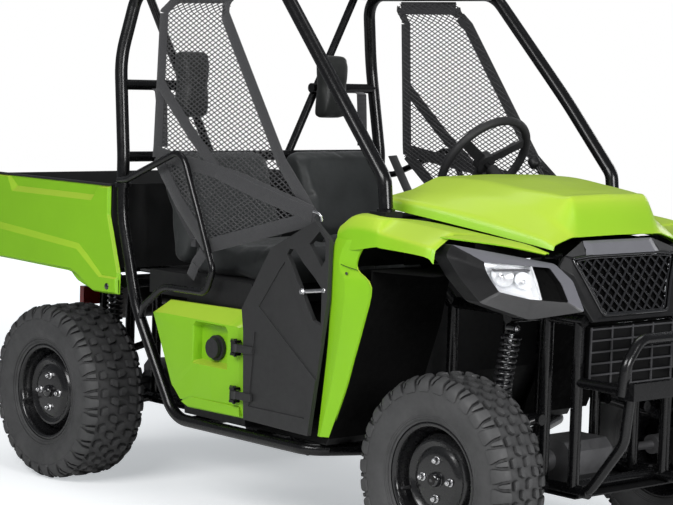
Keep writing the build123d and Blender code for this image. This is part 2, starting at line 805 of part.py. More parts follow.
side_panel_y = 600.0
side_panel_outline = [
    (-351, 638),
    (-284, 684),
    (95, 690),
    (110, 677),
    (122, 356),
    (-161, 354),
    (-247, 414),
]
pocket_low, pocket_high = (-137, 500), (38, 635)
pocket_wall = 6.0
pocket_back = base_half + seat_gap
with BuildPart() as side_panels:
    for side in (-1, 1):
        outer, inner = side * side_panel_y, side * (side_panel_y - 9)
        add_slab(side_panel_outline, min(outer, inner), max(outer, inner))
        add_block(
            (pocket_low[0] - pocket_wall, min(outer, side * pocket_back), pocket_low[1] - pocket_wall),
            (pocket_high[0] + pocket_wall, max(outer, side * pocket_back), pocket_high[1] + pocket_wall),
        )
        cut = side * (pocket_back + pocket_wall)
        add_block(
            (pocket_low[0], min(outer + side, cut), pocket_low[1]),
            (pocket_high[0], max(outer + side, cut), pocket_high[1]),
            mode=Mode.SUBTRACT,
        )
write(side_panels, "side_panels")

fuel_cap_y = pocket_back + pocket_wall + seat_gap
with BuildPart() as fuel_cap:
    with Locations(Plane(origin=(-50, -fuel_cap_y, 556), z_dir=(0, -1, 0))):
        Cylinder(40, 14, align=(Align.CENTER, Align.CENTER, Align.MIN))
        Cylinder(31, 30, align=(Align.CENTER, Align.CENTER, Align.MIN))
write(fuel_cap, "fuel_cap")

# the fender's upright, up its rear edge: z, then x, y at the door and x, y at the wheel arch
fender_post = [
    (354, 450, 582, 489, 578),
    (500, 470, 584, 556, 580),
    (600, 484, 586, 592, 582),
    (700, 493, 588, 628, 584),
    (817, 492, 589, 659, 585),
    (864, 491, 589, 601, 587),
    (905, 491, 588, 606, 588),
    (950, 512, 586, 640, 588),
]
# the fender's top along x: y, z of its lip, shoulder, ridge and inner edge
fender_top = [
    (513, (586, 930), (585, 965), (574, 986), (546, 992)),
    (577, (590, 920), (590, 985), (572, 1022), (546, 1026)),
    (679, (592, 937), (590, 983), (568, 1018), (546, 1022)),
    (712, (592, 936), (588, 978), (520, 1016), (406, 1008)),
    (880, (590, 928), (584, 958), (505, 1000), (352, 984)),
    (906, (575, 908), (570, 946), (500, 989), (344, 980)),
]
# the strip over the lamp housing
fender_strip = [
    (900, (545, 984), (500, 988), (440, 987), (346, 981)),
    (1010, (402, 964), (385, 967), (350, 968), (310, 964)),
    (1076, (300, 940), (296, 943), (291, 945), (286, 944)),
]


def right_rows(table):
    """Rows of corners on the right from a table of x and (y, z) pairs."""
    return [[(row[0], -y, z) for y, z in row[1:]] for row in table]


with BuildPart() as front_fenders:
    post_rows = [[(xa, -ya, z), (xb, -yb, z)] for z, xa, ya, xb, yb in fender_post]
    post = panel_solid(post_rows, sheet, (600, 0, 700))
    top = panel_solid(right_rows(fender_top), sheet, (760, -300, 700))
    strip = panel_solid(right_rows(fender_strip), sheet, (1000, -400, 700))
    with BuildPart(mode=Mode.PRIVATE) as fender:
        add([post, top, strip])
    add(mirrored(fender.solids()))
write(front_fenders, "front_fenders")

liner_run = [
    (459.5, 352),
    (486, 354),
    (550, 500),
    (622, 700),
    (648, 815),
    (652, 868),
    (900, 876),
]
with BuildPart() as fender_liners:
    for low, high in ((-572.7, -258), (258, 572.7)):
        add_slab(thicken(liner_run, sheet), low, high)
    for low, high in ((-310, -290), (290, 310)):
        add_block((629.2, low, 846), (652, high, 870))
write(fender_liners, "fender_liners")

# lamp housing, round its rim from the rear top corner, then the lamp opening inside it
bezel_rim = [
    (936, -537.5, 965.5),
    (922, -544.5, 934.5),
    (984, -545, 873),
    (1048, -530, 812),
    (1118, -405, 765),
    (1217, -285, 792),
    (1155, -270, 872),
    (1089, -275, 914),
]
lamp_rim = [
    (1009, -480, 920),
    (1022, -484, 898),
    (1046, -486, 872),
    (1075, -482, 843),
    (1133, -415, 824),
    (1188, -318, 816),
    (1142, -300, 862),
    (1098, -304, 904),
]
bezel_back = (-64, 10, -2)
lamp_recess = (-9, 1.4, -0.3)


def inset_loop(loop, gap, shift=(0, 0, 0)):
    """The loop drawn in towards its centre by a gap, then moved by a shift."""
    corners = [Vector(*p) for p in loop]
    centre = sum(corners[1:], corners[0]) * (1 / len(corners))
    return [c + (centre - c).normalized() * gap + Vector(*shift) for c in corners]


with BuildPart() as headlight_bezels:
    add(mirrored([ring_solid(bezel_rim, lamp_rim, bezel_back)]))
write(headlight_bezels, "headlight_bezels")
with BuildPart() as headlights:
    add(mirrored([plug_solid(inset_loop(lamp_rim, 1.0, lamp_recess), (-50, 7.8, -1.6))]))
write(headlights, "headlights")

# corners of the nose and of the grille opening in it, down the right side
nose_right = [(1084, -160, 968), (1106, -252, 934), (1096, -262, 905), (1168, -190, 752)]
grille_right = [(1107, -150, 932), (1109, -228, 926), (1131, -186, 856), (1160, -142, 766)]
badge_bar = [(1096, -128, 961), (1096, 128, 961), (1114, 132, 936), (1114, -132, 936)]
badge_foot = [(1085, -152, 966), (1085, 152, 966), (1106, 160, 934), (1106, -160, 934)]


def both_ways(loop):
    """A loop down the right side carried on up the left."""
    return loop + [(x, -y, z) for x, y, z in loop[::-1]]


def bar_solid(front, foot):
    """A bar with a flat four-cornered front and a wider foot."""
    sides = [[i, (i + 1) % 4, 4 + (i + 1) % 4, 4 + i] for i in range(4)]
    splits = [half for a, b, c, d in sides for half in ([a, b, c], [a, c, d])]
    points = [Vector(*p) for p in front + foot]
    return corners_solid(points, [[0, 1, 2], [0, 2, 3], [4, 5, 6], [4, 6, 7]] + splits)


nose_rim, grille_rim = both_ways(nose_right), both_ways(grille_right)
nose_foot_z = front_rail_z + frame_tube / 2 + seat_gap
with BuildPart() as nose_panel:
    add(ring_solid(nose_rim, grille_rim, (-12, 0, -4)))
    add(bar_solid(badge_bar, badge_foot))
    for low, high in ((-200, -184), (184, 200)):
        add_block((1126, low, nose_foot_z), (front_top_end_x, high, 792))
write(nose_panel, "nose_panel")

mesh_pitch = 40.0  # of the grille's diamonds, along each diagonal of a diamond
mesh_bar = 7.0
mesh_side = mesh_pitch / 2**0.5 - mesh_bar
rim_share = 0.94  # of the opening, inside the grille's own edge
mesh_plane = Plane(origin=(1133, 0, 848), x_dir=(0, 1, 0), z_dir=(0.952, 0, 0.305))
mesh_rows = range(-5, 6)
with BuildPart() as grille:
    add(plug_solid(inset_loop(grille_rim, 1.0, (-3, 0, -1)), (-8, 0, -2.7)))
    with BuildSketch(mesh_plane) as mesh_holes:
        rim_points = [mesh_plane.to_local_coords(Vector(*p)) for p in grille_rim]
        for row in mesh_rows:
            shift = mesh_pitch / 2 * (row % 2)
            spots = [(k * mesh_pitch + shift, row * mesh_pitch / 2) for k in range(-6, 7)]
            with Locations(*spots):
                Rectangle(mesh_side, mesh_side, rotation=45)
        with BuildLine():
            Polyline(*[(p.X * rim_share, p.Y * rim_share) for p in rim_points], close=True)
        make_face(mode=Mode.INTERSECT)
    extrude(mesh_holes.sketch, amount=30, both=True, mode=Mode.SUBTRACT)
write(grille, "grille")

radiator_half = rail_y - frame_tube / 2 - seat_gap
radiator_low, radiator_high = 560.0, 734.0
guard_wire = 5.0
guard_pitch_z = 33.0
guard_pitch_y = 90.0
with BuildPart() as radiator:
    add_block(
        (front_end_x - 35, -radiator_half, radiator_low), (front_end_x, radiator_half, radiator_high)
    )
    guard_x = front_end_x + guard_wire
    for k in range(6):
        z = radiator_low + guard_wire / 2 + k * guard_pitch_z
        add_block((front_end_x - 1, -radiator_half, z - guard_wire / 2), (guard_x, radiator_half, z + guard_wire / 2))
    for k in (-2, -1, 0, 1, 2):
        y = k * guard_pitch_y
        add_block((front_end_x - 1, y - guard_wire / 2, radiator_low), (guard_x, y + guard_wire / 2, radiator_high))
write(radiator, "radiator")

bumper_x = nose_x - 40
bumper_hoop = [
    (bumper_x, -212, 560),
    (bumper_x + 8, -206, 650),
    (bumper_x + 8, -150, 716),
    (bumper_x + 8, 150, 716),
    (bumper_x + 8, 206, 650),
    (bumper_x, 212, 560),
]
with BuildPart() as front_bumper:
    add_tube(bumper_hoop, 32, [60, 60, 60, 60])
    add_block((bumper_x + 16, -206, 549), (nose_x, 206, 598))
    add_block((bumper_x - 10, -216, 549), (bumper_x + 17, 216, 561))
    for side in (-1, 1):
        stay = [
            (bumper_x, side * 172, 555),
            (bumper_x - 10, side * 180, 420),
            (front_end_x + 30, side * rail_y, rail_z),
            (front_end_x - 20, side * rail_y, rail_z),
        ]
        add_tube(stay, 30, [80, 60])
        add_tube([(bumper_x, side * 190, 575), (front_post_x, side * rail_y, 575)], 30)
        rail = [(rear_end_x, side * rail_y, rail_z), (front_end_x + 36, side * rail_y, rail_z)]
        add_tube(rail, frame_tube + 2 * seat_gap, mode=Mode.SUBTRACT)
        upright = [
            (front_post_x, side * rail_y, rail_z - 40),
            (front_post_x, side * rail_y, front_rail_z),
        ]
        add_tube(upright, frame_tube + 2 * seat_gap, mode=Mode.SUBTRACT)
write(front_bumper, "front_bumper")

# side net, from the top down: rear and front corners of each row
net_rows = [
    [(-412, -505, roof_z - 21.6), (-98, -486, roof_z - 21.6)],
    [(-424, -538, roof_z - 94), (-88, -500, roof_z - 60)],
    [(-417, -560, 1125), (251, -556, 1163)],
    [(-129, -578, 765), (442, -580, 1000)],
]
with BuildPart() as side_nets:
    add(mirrored([panel_solid(net_rows, 3.0, (0, 0, 1200))]))
write(side_nets, "side_nets")

lamp_half = 46.0
with BuildPart() as tail_lights:
    for side in (-1, 1):
        y = side * (rail_y + 34)
        rear = rear_end_x + 20 - frame_tube / 2 - seat_gap
        add_block((rear - 24, y - lamp_half, 556), (rear, y + lamp_half, 622))
write(tail_lights, "tail_lights")

hitch_hole = 9.65
hitch_x = -1262.0
with BuildPart() as tow_hitch:
    add_block((hitch_x - 30, -36, skid_z - 8.3), (rear_end_x + 90, 36, skid_z - seat_gap))
    with Locations((hitch_x, 0, skid_z - 5)):
        Cylinder(hitch_hole, 40, mode=Mode.SUBTRACT)
write(tow_hitch, "tow_hitch")

# ---------------------------------------------------------------- doors
door_inner_y = 596.0
door_outer_y = 612.0
hinge_x = 96.0
hinge_y = 616.0
hinge_pin = 5.0
hinge_heights = (431.0, 577.0)
door_outline = [
    (137, 360),
    (126, 635),
    (116, 700),
    (247, 898),
    (443, 994),
    (510, 944),
    (506, 767),
    (436, 354),
]
door_recess = 4.0
door_recesses = [
    [(293, 841), (197, 716), (470, 521), (486, 545), (486, 640), (430, 684), (312, 862)],
    [(181, 636), (197, 634), (426, 464), (420, 404), (160, 404)],
]
door_windows = [
    [(422, 926), (466, 966), (492, 942), (494, 884), (478, 862)],
    [(322, 886), (334, 903), (358, 903), (400, 864), (452, 826), (482, 798), (482, 688), (446, 700)],
]
with BuildPart() as door_hinges:
    for side in (-1, 1):
        for z in hinge_heights:
            with Locations((hinge_x, side * hinge_y, z)):
                Cylinder(hinge_pin, 56)
            for low in (z - 24, z + 16):
                add_block(
                    (hinge_x - 14, min(side * (hinge_y + 9), side * (side_panel_y + seat_gap)), low),
                    (hinge_x + 9, max(side * (hinge_y + 9), side * (side_panel_y + seat_gap)), low + 8),
                )
            base = (side * (side_panel_y + seat_gap), side * (side_panel_y + 5))
            add_block((hinge_x - 36, min(base), z - 24), (hinge_x - 13, max(base), z + 24))

with BuildPart() as door_right:
    add_slab(door_outline, -door_outer_y, -door_inner_y)
    for recess in door_recesses:
        add_slab(recess, -door_outer_y - 1, -door_outer_y + door_recess, mode=Mode.SUBTRACT)
    for window in door_windows:
        add_slab(window, -door_outer_y - 1, -door_inner_y + 1, mode=Mode.SUBTRACT)
    for z in hinge_heights:
        add_block((hinge_x, -door_outer_y - 6, z - 12), (hinge_x + 80, -door_outer_y + 2, z + 12))
        with Locations((hinge_x, -hinge_y, z)):
            Cylinder(hinge_pin + 4, 24)
            Cylinder(hinge_pin + running_gap, 30, mode=Mode.SUBTRACT)
write(door_right, "door_right")
with BuildPart() as door_left:
    mirror(door_right.part, about=Plane.XZ)
write(door_left, "door_left")

# ---------------------------------------------------------------- hood
hood_axis_x = 1064.0
hood_axis_z = 930.0
hood_pin = 6.0
hood_arm_y = 240.0
# x, then y and z of the lip's foot, the lip's top, the ridge and the crown, and z in the middle
hood_stations = [
    (562, (440, 1038), (436, 1072), (335, 1090), (230, 1127), 1131),
    (720, (394, 1014), (388, 1050), (306, 1090), (214, 1128), 1132),
    (865, (348, 990), (342, 1022), (270, 1079), (200, 1114), 1118),
    (1000, (303, 966), (297, 994), (229, 1040), (176, 1101), 1104),
    (1048, (286, 957), (280, 982), (212, 1012), (165, 1088), 1091),
    (1079, (273, 950), (268, 966), (198, 986), (158, 985), 987),
]
with BuildPart() as hood:
    hood_rows = []
    for x, *half, middle in hood_stations:
        right = [(x, -y, z) for y, z in half]
        hood_rows.append(right + [(x, 0, middle)] + [(x, -y, z) for x, y, z in right[::-1]])
    add(panel_solid(hood_rows, sheet, lambda corner: (corner.X - 40, 0, 700)))
    for side in (-1, 1):
        arm = [(1036, 1000), (1060, 986), (hood_axis_x + 10, hood_axis_z), (hood_axis_x - 10, hood_axis_z)]
        add_slab(arm, side * hood_arm_y - 4, side * hood_arm_y + 4)
        with Locations(Plane(origin=(hood_axis_x, side * hood_arm_y, hood_axis_z), z_dir=(0, 1, 0))):
            Cylinder(11, 8)
            Cylinder(hood_pin + running_gap, 20, mode=Mode.SUBTRACT)
write(hood, "hood")

with BuildPart() as hood_posts:
    for side in (-1, 1):
        foot_z = front_rail_z + frame_tube / 2 - 4
        post_y = hood_arm_y - 14
        run = [
            (hood_axis_x, side * (rail_y + 2), foot_z),
            (hood_axis_x, side * post_y, hood_axis_z - 30),
            (hood_axis_x, side * post_y, hood_axis_z + 8),
        ]
        add_tube(run, 14)
        pin = [(hood_axis_x, side * post_y, hood_axis_z), (hood_axis_x, side * (post_y + 24), hood_axis_z)]
        add_tube(pin, 2 * hood_pin)
        rail = [(dash_bar_x, side * rail_y, front_rail_z), (front_end_x, side * rail_y, front_rail_z)]
        add_tube(rail, frame_tube + 2 * seat_gap, mode=Mode.SUBTRACT)

# ---------------------------------------------------------------- bed and tailgate
bed_axis_x = -1172.0
bed_pin = 10.0
bed_axis_z = upper_rail_z + frame_tube / 2 + seat_gap + bed_pin
bed_floor_z = 755.0
bed_wall = 6.0
bed_front_x = -590.0
bed_half = 590.0
bed_rim_z = 1036.0
runner_z = upper_rail_z + frame_tube / 2 + seat_gap
with BuildPart() as bed_pivot:
    add_tube([(bed_axis_x, -rail_y - 15, bed_axis_z), (bed_axis_x, rail_y + 15, bed_axis_z)], 2 * bed_pin)

with BuildPart() as hinges:
    add([door_hinges.part, hood_posts.part, bed_pivot.part])
write(hinges, "hinges")

tailgate_x = tail_x
tailgate_thick = 18.0
tailgate_axis_x = tailgate_x + tailgate_thick / 2
tailgate_axis_z = bed_floor_z + 10
tailgate_half = bed_half - bed_wall - moving_gap
tailgate_pin = 6.0
with BuildPart() as bed_tub:
    floor_end = tailgate_x + tailgate_thick + 8
    add_block((floor_end, -bed_half, bed_floor_z), (bed_front_x, bed_half, bed_floor_z + bed_wall))
    add_block((bed_front_x - bed_wall, -bed_half, bed_floor_z), (bed_front_x, bed_half, bed_rim_z))
    for side in (-1, 1):
        outer, inner = side * bed_half, side * (bed_half - bed_wall)
        rim = side * (bed_half + 14)
        low, high = min(outer, inner), max(outer, inner)
        add_block((tailgate_x + 2, low, bed_floor_z), (bed_front_x, high, bed_rim_z))
        add_block(
            (tailgate_x + 2, min(inner, rim), bed_rim_z - 6),
            (bed_front_x, max(inner, rim), bed_rim_z),
        )
        add_block(
            (bed_axis_x + 22, side * rail_y - 10, runner_z),
            (bed_front_x - 17, side * rail_y + 10, bed_floor_z),
        )
        with Locations((bed_axis_x, side * (rail_y - 42), (bed_axis_z + bed_floor_z) / 2 - 7)):
            Box(34, 20, bed_floor_z - bed_axis_z + 14)
        with Locations(Plane(origin=(bed_axis_x, side * (rail_y - 42), bed_axis_z), z_dir=(0, 1, 0))):
            Cylinder(17, 20)
            Cylinder(bed_pin + running_gap, 40, mode=Mode.SUBTRACT)
        pin_spot = (tailgate_axis_x, side * (bed_half - bed_wall - 14), tailgate_axis_z)
        with Locations(Plane(origin=pin_spot, z_dir=(0, side, 0))):
            Cylinder(tailgate_pin, 36)
write(bed_tub, "bed_tub")

side_low, side_out, side_top = bed_half + 5, bed_half + 16, bed_half + 13
# corners of the bed's side panel up each station from the tail forwards
bed_side_rows = [
    [(-1320, side_low, 744), (-1320, side_out, 832), (-1320, side_out, 884), (-1320, side_top, 1029.7)],
    [(-873, side_low, 733), (-873, side_out, 826), (-873, side_out, 880), (-873, side_top, 1029.7)],
    [(-783, side_low, 699), (-775, side_out, 812), (-770, side_out, 872), (-770, side_top, 1029.7)],
    [(-667, side_low, 672), (-667, side_out, 760), (-667, side_out, 830), (-667, side_top, 1029.7)],
    [(-532, side_out, 676), (-530, side_out, 745), (-592, side_out, 935), (-592, side_top, 1029.7)],
]
with BuildPart() as bed_side_panels:
    rows = [[(x, -y, z) for x, y, z in row] for row in bed_side_rows]
    add(mirrored([panel_solid(rows, 4.0, (-900, 0, 880))]))
write(bed_side_panels, "bed_side_panels")

with BuildPart() as tailgate:
    add_block(
        (tailgate_x, -tailgate_half, bed_floor_z + 2),
        (tailgate_x + tailgate_thick, tailgate_half, bed_rim_z - 8),
    )
    for side in (-1, 1):
        spot = (tailgate_axis_x, side * (tailgate_half - 13), tailgate_axis_z)
        with Locations(Plane(origin=spot, z_dir=(0, side, 0))):
            Cylinder(tailgate_pin + running_gap, 30, mode=Mode.SUBTRACT)
write(tailgate, "tailgate")
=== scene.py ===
import bmesh
import bpy
import numpy as np
from math import atan2, cos, pi, radians, sin, sqrt
from mathutils import Matrix, Vector


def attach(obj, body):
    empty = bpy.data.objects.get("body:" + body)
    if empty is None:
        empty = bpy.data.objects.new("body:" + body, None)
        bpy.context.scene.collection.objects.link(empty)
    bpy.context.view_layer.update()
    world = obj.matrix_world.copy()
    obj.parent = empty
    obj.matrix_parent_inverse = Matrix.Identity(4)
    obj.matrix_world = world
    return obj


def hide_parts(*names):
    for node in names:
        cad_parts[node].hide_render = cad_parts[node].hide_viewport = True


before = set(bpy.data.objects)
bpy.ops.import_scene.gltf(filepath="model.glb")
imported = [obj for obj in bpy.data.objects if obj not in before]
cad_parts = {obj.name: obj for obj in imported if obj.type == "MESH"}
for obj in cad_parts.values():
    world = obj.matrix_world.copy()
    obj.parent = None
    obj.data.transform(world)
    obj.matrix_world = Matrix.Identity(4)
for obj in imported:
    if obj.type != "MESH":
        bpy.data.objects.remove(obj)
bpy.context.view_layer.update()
scene = bpy.context.scene
mat = {}  # finished materials by name


# ---------------------------------------------------------------- materials
class Nodes:
    """A node tree, with short ways to add to it."""

    def __init__(self, tree):
        self.tree = tree

    def add(self, kind, **values):
        """A node, with its properties and inputs set by name."""
        node = self.tree.nodes.new("ShaderNode" + kind)
        for key, value in values.items():
            if hasattr(node, key):
                setattr(node, key, value)
            else:
                node.inputs[key.replace("_", " ")].default_value = value
        return node

    def link(self, a, b):
        self.tree.links.new(a, b)

    def math(self, operation, a, b):
        node = self.add("Math", operation=operation)
        for socket, value in zip(node.inputs, (a, b)):
            if isinstance(value, (int, float)):
                socket.default_value = value
            else:
                self.link(value, socket)
        return node.outputs["Value"]

    def seen(self):
        """1 for what the camera sees, straight or through a lens, and 0 for what lights the scene."""
        ray = self.add("LightPath").outputs
        return self.math("MAXIMUM", ray["Is Camera Ray"], ray["Is Transmission Ray"])


class Material(Nodes):
    """A Principled material, kept in mat under its name."""

    def __init__(self, name):
        mat[name] = bpy.data.materials.new(name)
        mat[name].use_nodes = True
        super().__init__(mat[name].node_tree)
        self.bsdf = self.tree.nodes["Principled BSDF"]
        self.place = self.add("TexCoord").outputs["Object"]

    def texture(self, kind, output, **values):
        node = self.add("Tex" + kind, **values)
        self.link(self.place, node.inputs["Vector"])
        return node.outputs[output]

    def noise(self, scale, detail, rough=0.55):
        return self.texture("Noise", "Fac", Scale=scale, Detail=detail, Roughness=rough)

    def bands(self, scale, direction):
        return self.texture("Wave", "Fac", Scale=scale, bands_direction=direction)

    def part(self, vector, letter):
        """One number of a vector output."""
        node = self.add("SeparateXYZ")
        self.link(vector, node.inputs[0])
        return node.outputs[letter]

    def ramp(self, value, stops):
        """A colour by value, from stops of (value, colour)."""
        node = self.add("ValToRGB")
        ends = node.color_ramp.elements
        while len(ends) < len(stops):
            ends.new(0.5)
        for end, (at, colour) in zip(ends, stops):
            end.position = at
            end.color = (*colour, 1.0)
        self.link(value, node.inputs["Fac"])
        return node.outputs["Color"]

    def remap(self, value, low, high, start, end):
        """A value from start to end turned into one from low to high."""
        node = self.add("MapRange", From_Min=start, From_Max=end, To_Min=low, To_Max=high)
        self.link(value, node.inputs["Value"])
        return node.outputs["Result"]

    def mix(self, factor, a, b):
        node = self.add("Mix", data_type="RGBA")
        self.link(factor, node.inputs["Factor"])
        for socket, value in ((node.inputs["A"], a), (node.inputs["B"], b)):
            if isinstance(value, tuple):
                socket.default_value = (*value, 1.0)
            else:
                self.link(value, socket)
        return node.outputs["Result"]

    def surface(self, tone, spots, low, high, start=0.3, end=0.7):
        """The colour, and a roughness from low to high by a noise from start to end."""
        self.link(tone, self.bsdf.inputs["Base Color"])
        self.link(self.remap(spots, low, high, start, end), self.bsdf.inputs["Roughness"])

    def bumps(self, *layers):
        """Bumps in a row, each of (height, strength, distance in mm), into the normal."""
        last = None
        for height, strength, distance in layers:
            node = self.add("Bump", Strength=strength, Distance=distance / 1000)
            self.link(height, node.inputs["Height"])
            if last:
                self.link(last, node.inputs["Normal"])
            last = node.outputs["Normal"]
        self.link(last, self.bsdf.inputs["Normal"])

    def set(self, **values):
        for key, value in values.items():
            self.bsdf.inputs[key.replace("_", " ")].default_value = value


def shades(colour, spread):
    """Darker and lighter versions of a colour, for a ramp."""
    return [(0.3, tuple(c * (1 - spread) for c in colour)), (0.7, tuple(c * (1 + spread) for c in colour))]


cloud = 9.0  # scale of the clouds in the plain materials


def plain(name, colour, rough, grain, spread=0.12, specular=0.5, coat=(0.0, 0.03), metal=0.0):
    """Paint, plastic or metal; grain is (scale, strength, distance in mm), coat (weight, roughness)."""
    m = Material(name)
    tone = m.ramp(m.noise(cloud, 4), shades(colour, spread))
    m.surface(tone, m.noise(cloud * 5, 5, 0.65), rough * 0.8, min(rough * 1.25, 1))
    scale, strength, distance = grain
    m.bumps((m.noise(scale, 2), strength, distance), (m.noise(cloud * 3, 2), 0.08, 1.2))
    m.set(Specular_IOR_Level=specular, Coat_Weight=coat[0], Coat_Roughness=coat[1], Metallic=metal)


def green(name):
    """Moulded-in yellow-green, with painted light: yellower and paler where it faces up, as if lit from above."""
    m = Material(name)
    side, top = (
        m.ramp(m.noise(2.5, 4), shades(colour, 0.05)) for colour in ((0.225, 0.505, 0.011), (0.385, 0.555, 0.040))
    )
    # painted light: the paler top colour is mixed in by how far each face points up
    painted_top_light = m.remap(m.part(m.add("NewGeometry").outputs["Normal"], "Z"), 0, 1, 0.06, 0.55)
    m.surface(m.mix(painted_top_light, side, top), m.noise(12, 5, 0.65), 0.36, 0.5)
    m.bumps((m.noise(700, 2), 0.05, 0.1), (m.noise(7, 2), 0.08, 1.2))
    m.set(Specular_IOR_Level=0.28, Coat_Weight=0.12, Coat_Roughness=0.15)


guard_front = 1.1506  # metres, between the radiator's core and the wires of its guard


def guarded(name):
    """A black core behind the paler wires of its guard, which stand out to the front."""
    m = Material(name)
    wires = m.math("GREATER_THAN", m.part(m.place, "X"), guard_front)
    fins = m.bands(95, "Z")
    core = m.ramp(fins, [(0.2, (0.0012, 0.0012, 0.0014)), (0.8, (0.0035, 0.0035, 0.0037))])
    wire = m.ramp(m.noise(30, 3), shades((0.055, 0.055, 0.058), 0.15))
    m.surface(m.mix(wires, core, wire), m.noise(60, 4), 0.36, 0.55)
    m.bumps((fins, 0.4, 0.6), (m.noise(500, 3), 0.2, 0.3))
    m.set(Specular_IOR_Level=0.15)


def tyre(name):
    """Dusty rubber, with painted shade: darker in the hollows between its knobs."""
    m = Material(name)
    dusts = [(0.25, (0.036, 0.0365, 0.037)), (0.62, (0.060, 0.060, 0.061)), (0.9, (0.086, 0.084, 0.080))]
    # painted shade: ambient occlusion mixes near-black into the rubber where it is hemmed in
    ao_for_painted_shade = m.add("AmbientOcclusion", samples=8, Distance=0.02).outputs["AO"]
    tone = m.mix(m.remap(ao_for_painted_shade, 0.0, 1.0, 0.42, 0.9), (0.0025, 0.0025, 0.003), m.ramp(m.noise(11, 6, 0.65), dusts))
    m.surface(tone, m.noise(38, 5, 0.7), 0.46, 0.72)
    m.bumps((m.noise(700, 3), 0.35, 0.35), (m.noise(90, 4), 0.25, 0.8))
    m.set(Specular_IOR_Level=0.4)


def vinyl(name, colour, rough):
    m = Material(name)
    m.surface(m.ramp(m.noise(16, 5), shades(colour, 0.16)), m.noise(60, 4), rough - 0.08, rough + 0.1)
    grain = m.texture("Voronoi", "Distance", Scale=620, feature="DISTANCE_TO_EDGE")
    m.bumps((grain, 0.35, 0.35), (m.noise(140, 4), 0.2, 0.6), (m.noise(26, 3), 0.18, 2.0))
    m.set(Sheen_Weight=0.15, Sheen_Roughness=0.4, Specular_IOR_Level=0.4)


def webbing(name, colour):
    m = Material(name)
    weave = m.math("MAXIMUM", m.bands(160, "X"), m.math("MULTIPLY", m.bands(160, "Z"), 0.8))
    tone = m.ramp(weave, [(at, tuple(c * share for c in colour)) for at, share in ((0.1, 0.55), (0.8, 1.35))])
    m.surface(tone, m.noise(80, 4), 0.55, 0.8, 0.0, 1.0)
    m.bumps((weave, 0.6, 0.5), (m.noise(400, 3), 0.3, 0.4))
    m.set(Sheen_Weight=0.3, Sheen_Roughness=0.45)


def clear(name):
    """A thin clear cover, nearly without refraction."""
    m = Material(name)
    tone = m.ramp(m.noise(6, 2), [(0.2, (0.92, 0.94, 0.96)), (0.8, (0.98, 0.99, 1.0))])
    m.surface(tone, m.noise(50, 3), 0.01, 0.06, 0.0, 1.0)
    m.bumps((m.noise(30, 2), 0.02, 0.4))
    m.set(Transmission_Weight=1.0, IOR=1.04, Alpha=0.35, Coat_Weight=0.6)


green("green_panel")
guarded("radiator_and_guard")
plain("tube_paint", (0.0032, 0.0032, 0.0036), 0.26, (260, 0.06, 0.2), specular=0.3, coat=(0.2, 0.08))
plain("black_plastic", (0.0065, 0.0065, 0.007), 0.5, (1400, 0.3, 0.3), specular=0.35)
plain("textured_plastic", (0.012, 0.0122, 0.0125), 0.55, (520, 0.5, 0.45), specular=0.4)
plain("charcoal_panel", (0.070, 0.070, 0.076), 0.46, (1500, 0.3, 0.25))
plain("grey_bar", (0.135, 0.135, 0.15), 0.42, (1500, 0.25, 0.2), spread=0.06)
plain("door_plastic", (0.019, 0.0192, 0.0196), 0.50, (620, 0.5, 0.45), spread=0.08, specular=0.45)
plain("bezel_pale", (0.120, 0.120, 0.135), 0.45, (1500, 0.25, 0.2), spread=0.06)
plain("bezel_dark", (0.030, 0.030, 0.031), 0.5, (1500, 0.25, 0.2), spread=0.08)
plain("bezel_black", (0.0045, 0.0045, 0.005), 0.5, (520, 0.4, 0.4), specular=0.22)
plain("gloss_black", (0.008, 0.008, 0.009), 0.16, (300, 0.03, 0.1), coat=(0.8, 0.05))
plain("zinc_plate", (0.60, 0.60, 0.61), 0.24, (800, 0.15, 0.1), metal=1.0)
plain("cast_alloy", (0.16, 0.16, 0.165), 0.5, (500, 0.5, 0.5), metal=0.8)
plain("cast_iron", (0.022, 0.021, 0.021), 0.6, (420, 0.6, 0.7), metal=0.6)
plain("exhaust_steel", (0.085, 0.08, 0.076), 0.45, (300, 0.2, 0.3), spread=0.3, metal=0.9)
plain("spring_paint", (0.012, 0.012, 0.013), 0.3, (400, 0.1, 0.2), coat=(0.6, 0.15))
plain("rim_paint", (0.0045, 0.0045, 0.005), 0.26, (300, 0.05, 0.2), specular=0.4, coat=(0.4, 0.1))
plain("red_lens", (0.42, 0.008, 0.006), 0.12, (260, 0.1, 0.2), coat=(1.0, 0.03))
plain("lamp_reflector", (0.80, 0.81, 0.83), 0.2, (40, 0.05, 0.4), spread=0.03, metal=0.3)
plain("soft_rubber", (0.015, 0.015, 0.016), 0.62, (900, 0.4, 0.3))
# near-black and matte: painted shade on the lamp recesses, the boxes under the hood and the sheet behind the grille;
# also the fender liners' black
plain("dark_void", (0.0015, 0.0015, 0.0015), 0.9, (900, 0.15, 0.15), specular=0.1)
tyre("tyre_rubber")
vinyl("seat_vinyl", (0.030, 0.033, 0.033), 0.48)
vinyl("headrest_vinyl", (0.013, 0.0145, 0.0135), 0.46)
webbing("webbing", (0.022, 0.022, 0.024))
clear("clear_lens")


# ---------------------------------------------------------------- mesh building, in millimetres
def around(count):
    """Angles evenly spread round a circle."""
    return [2 * pi * k / count for k in range(count)]


def spun(profile, count):
    """Rows of points of a profile of (radius, y) turned round the Y axis."""
    return [[(r * cos(a), y, r * sin(a)) for r, y in profile] for a in around(count)]


def looped(points):
    """Each point with the next one, round to the first."""
    return list(zip(points, points[1:] + points[:1]))


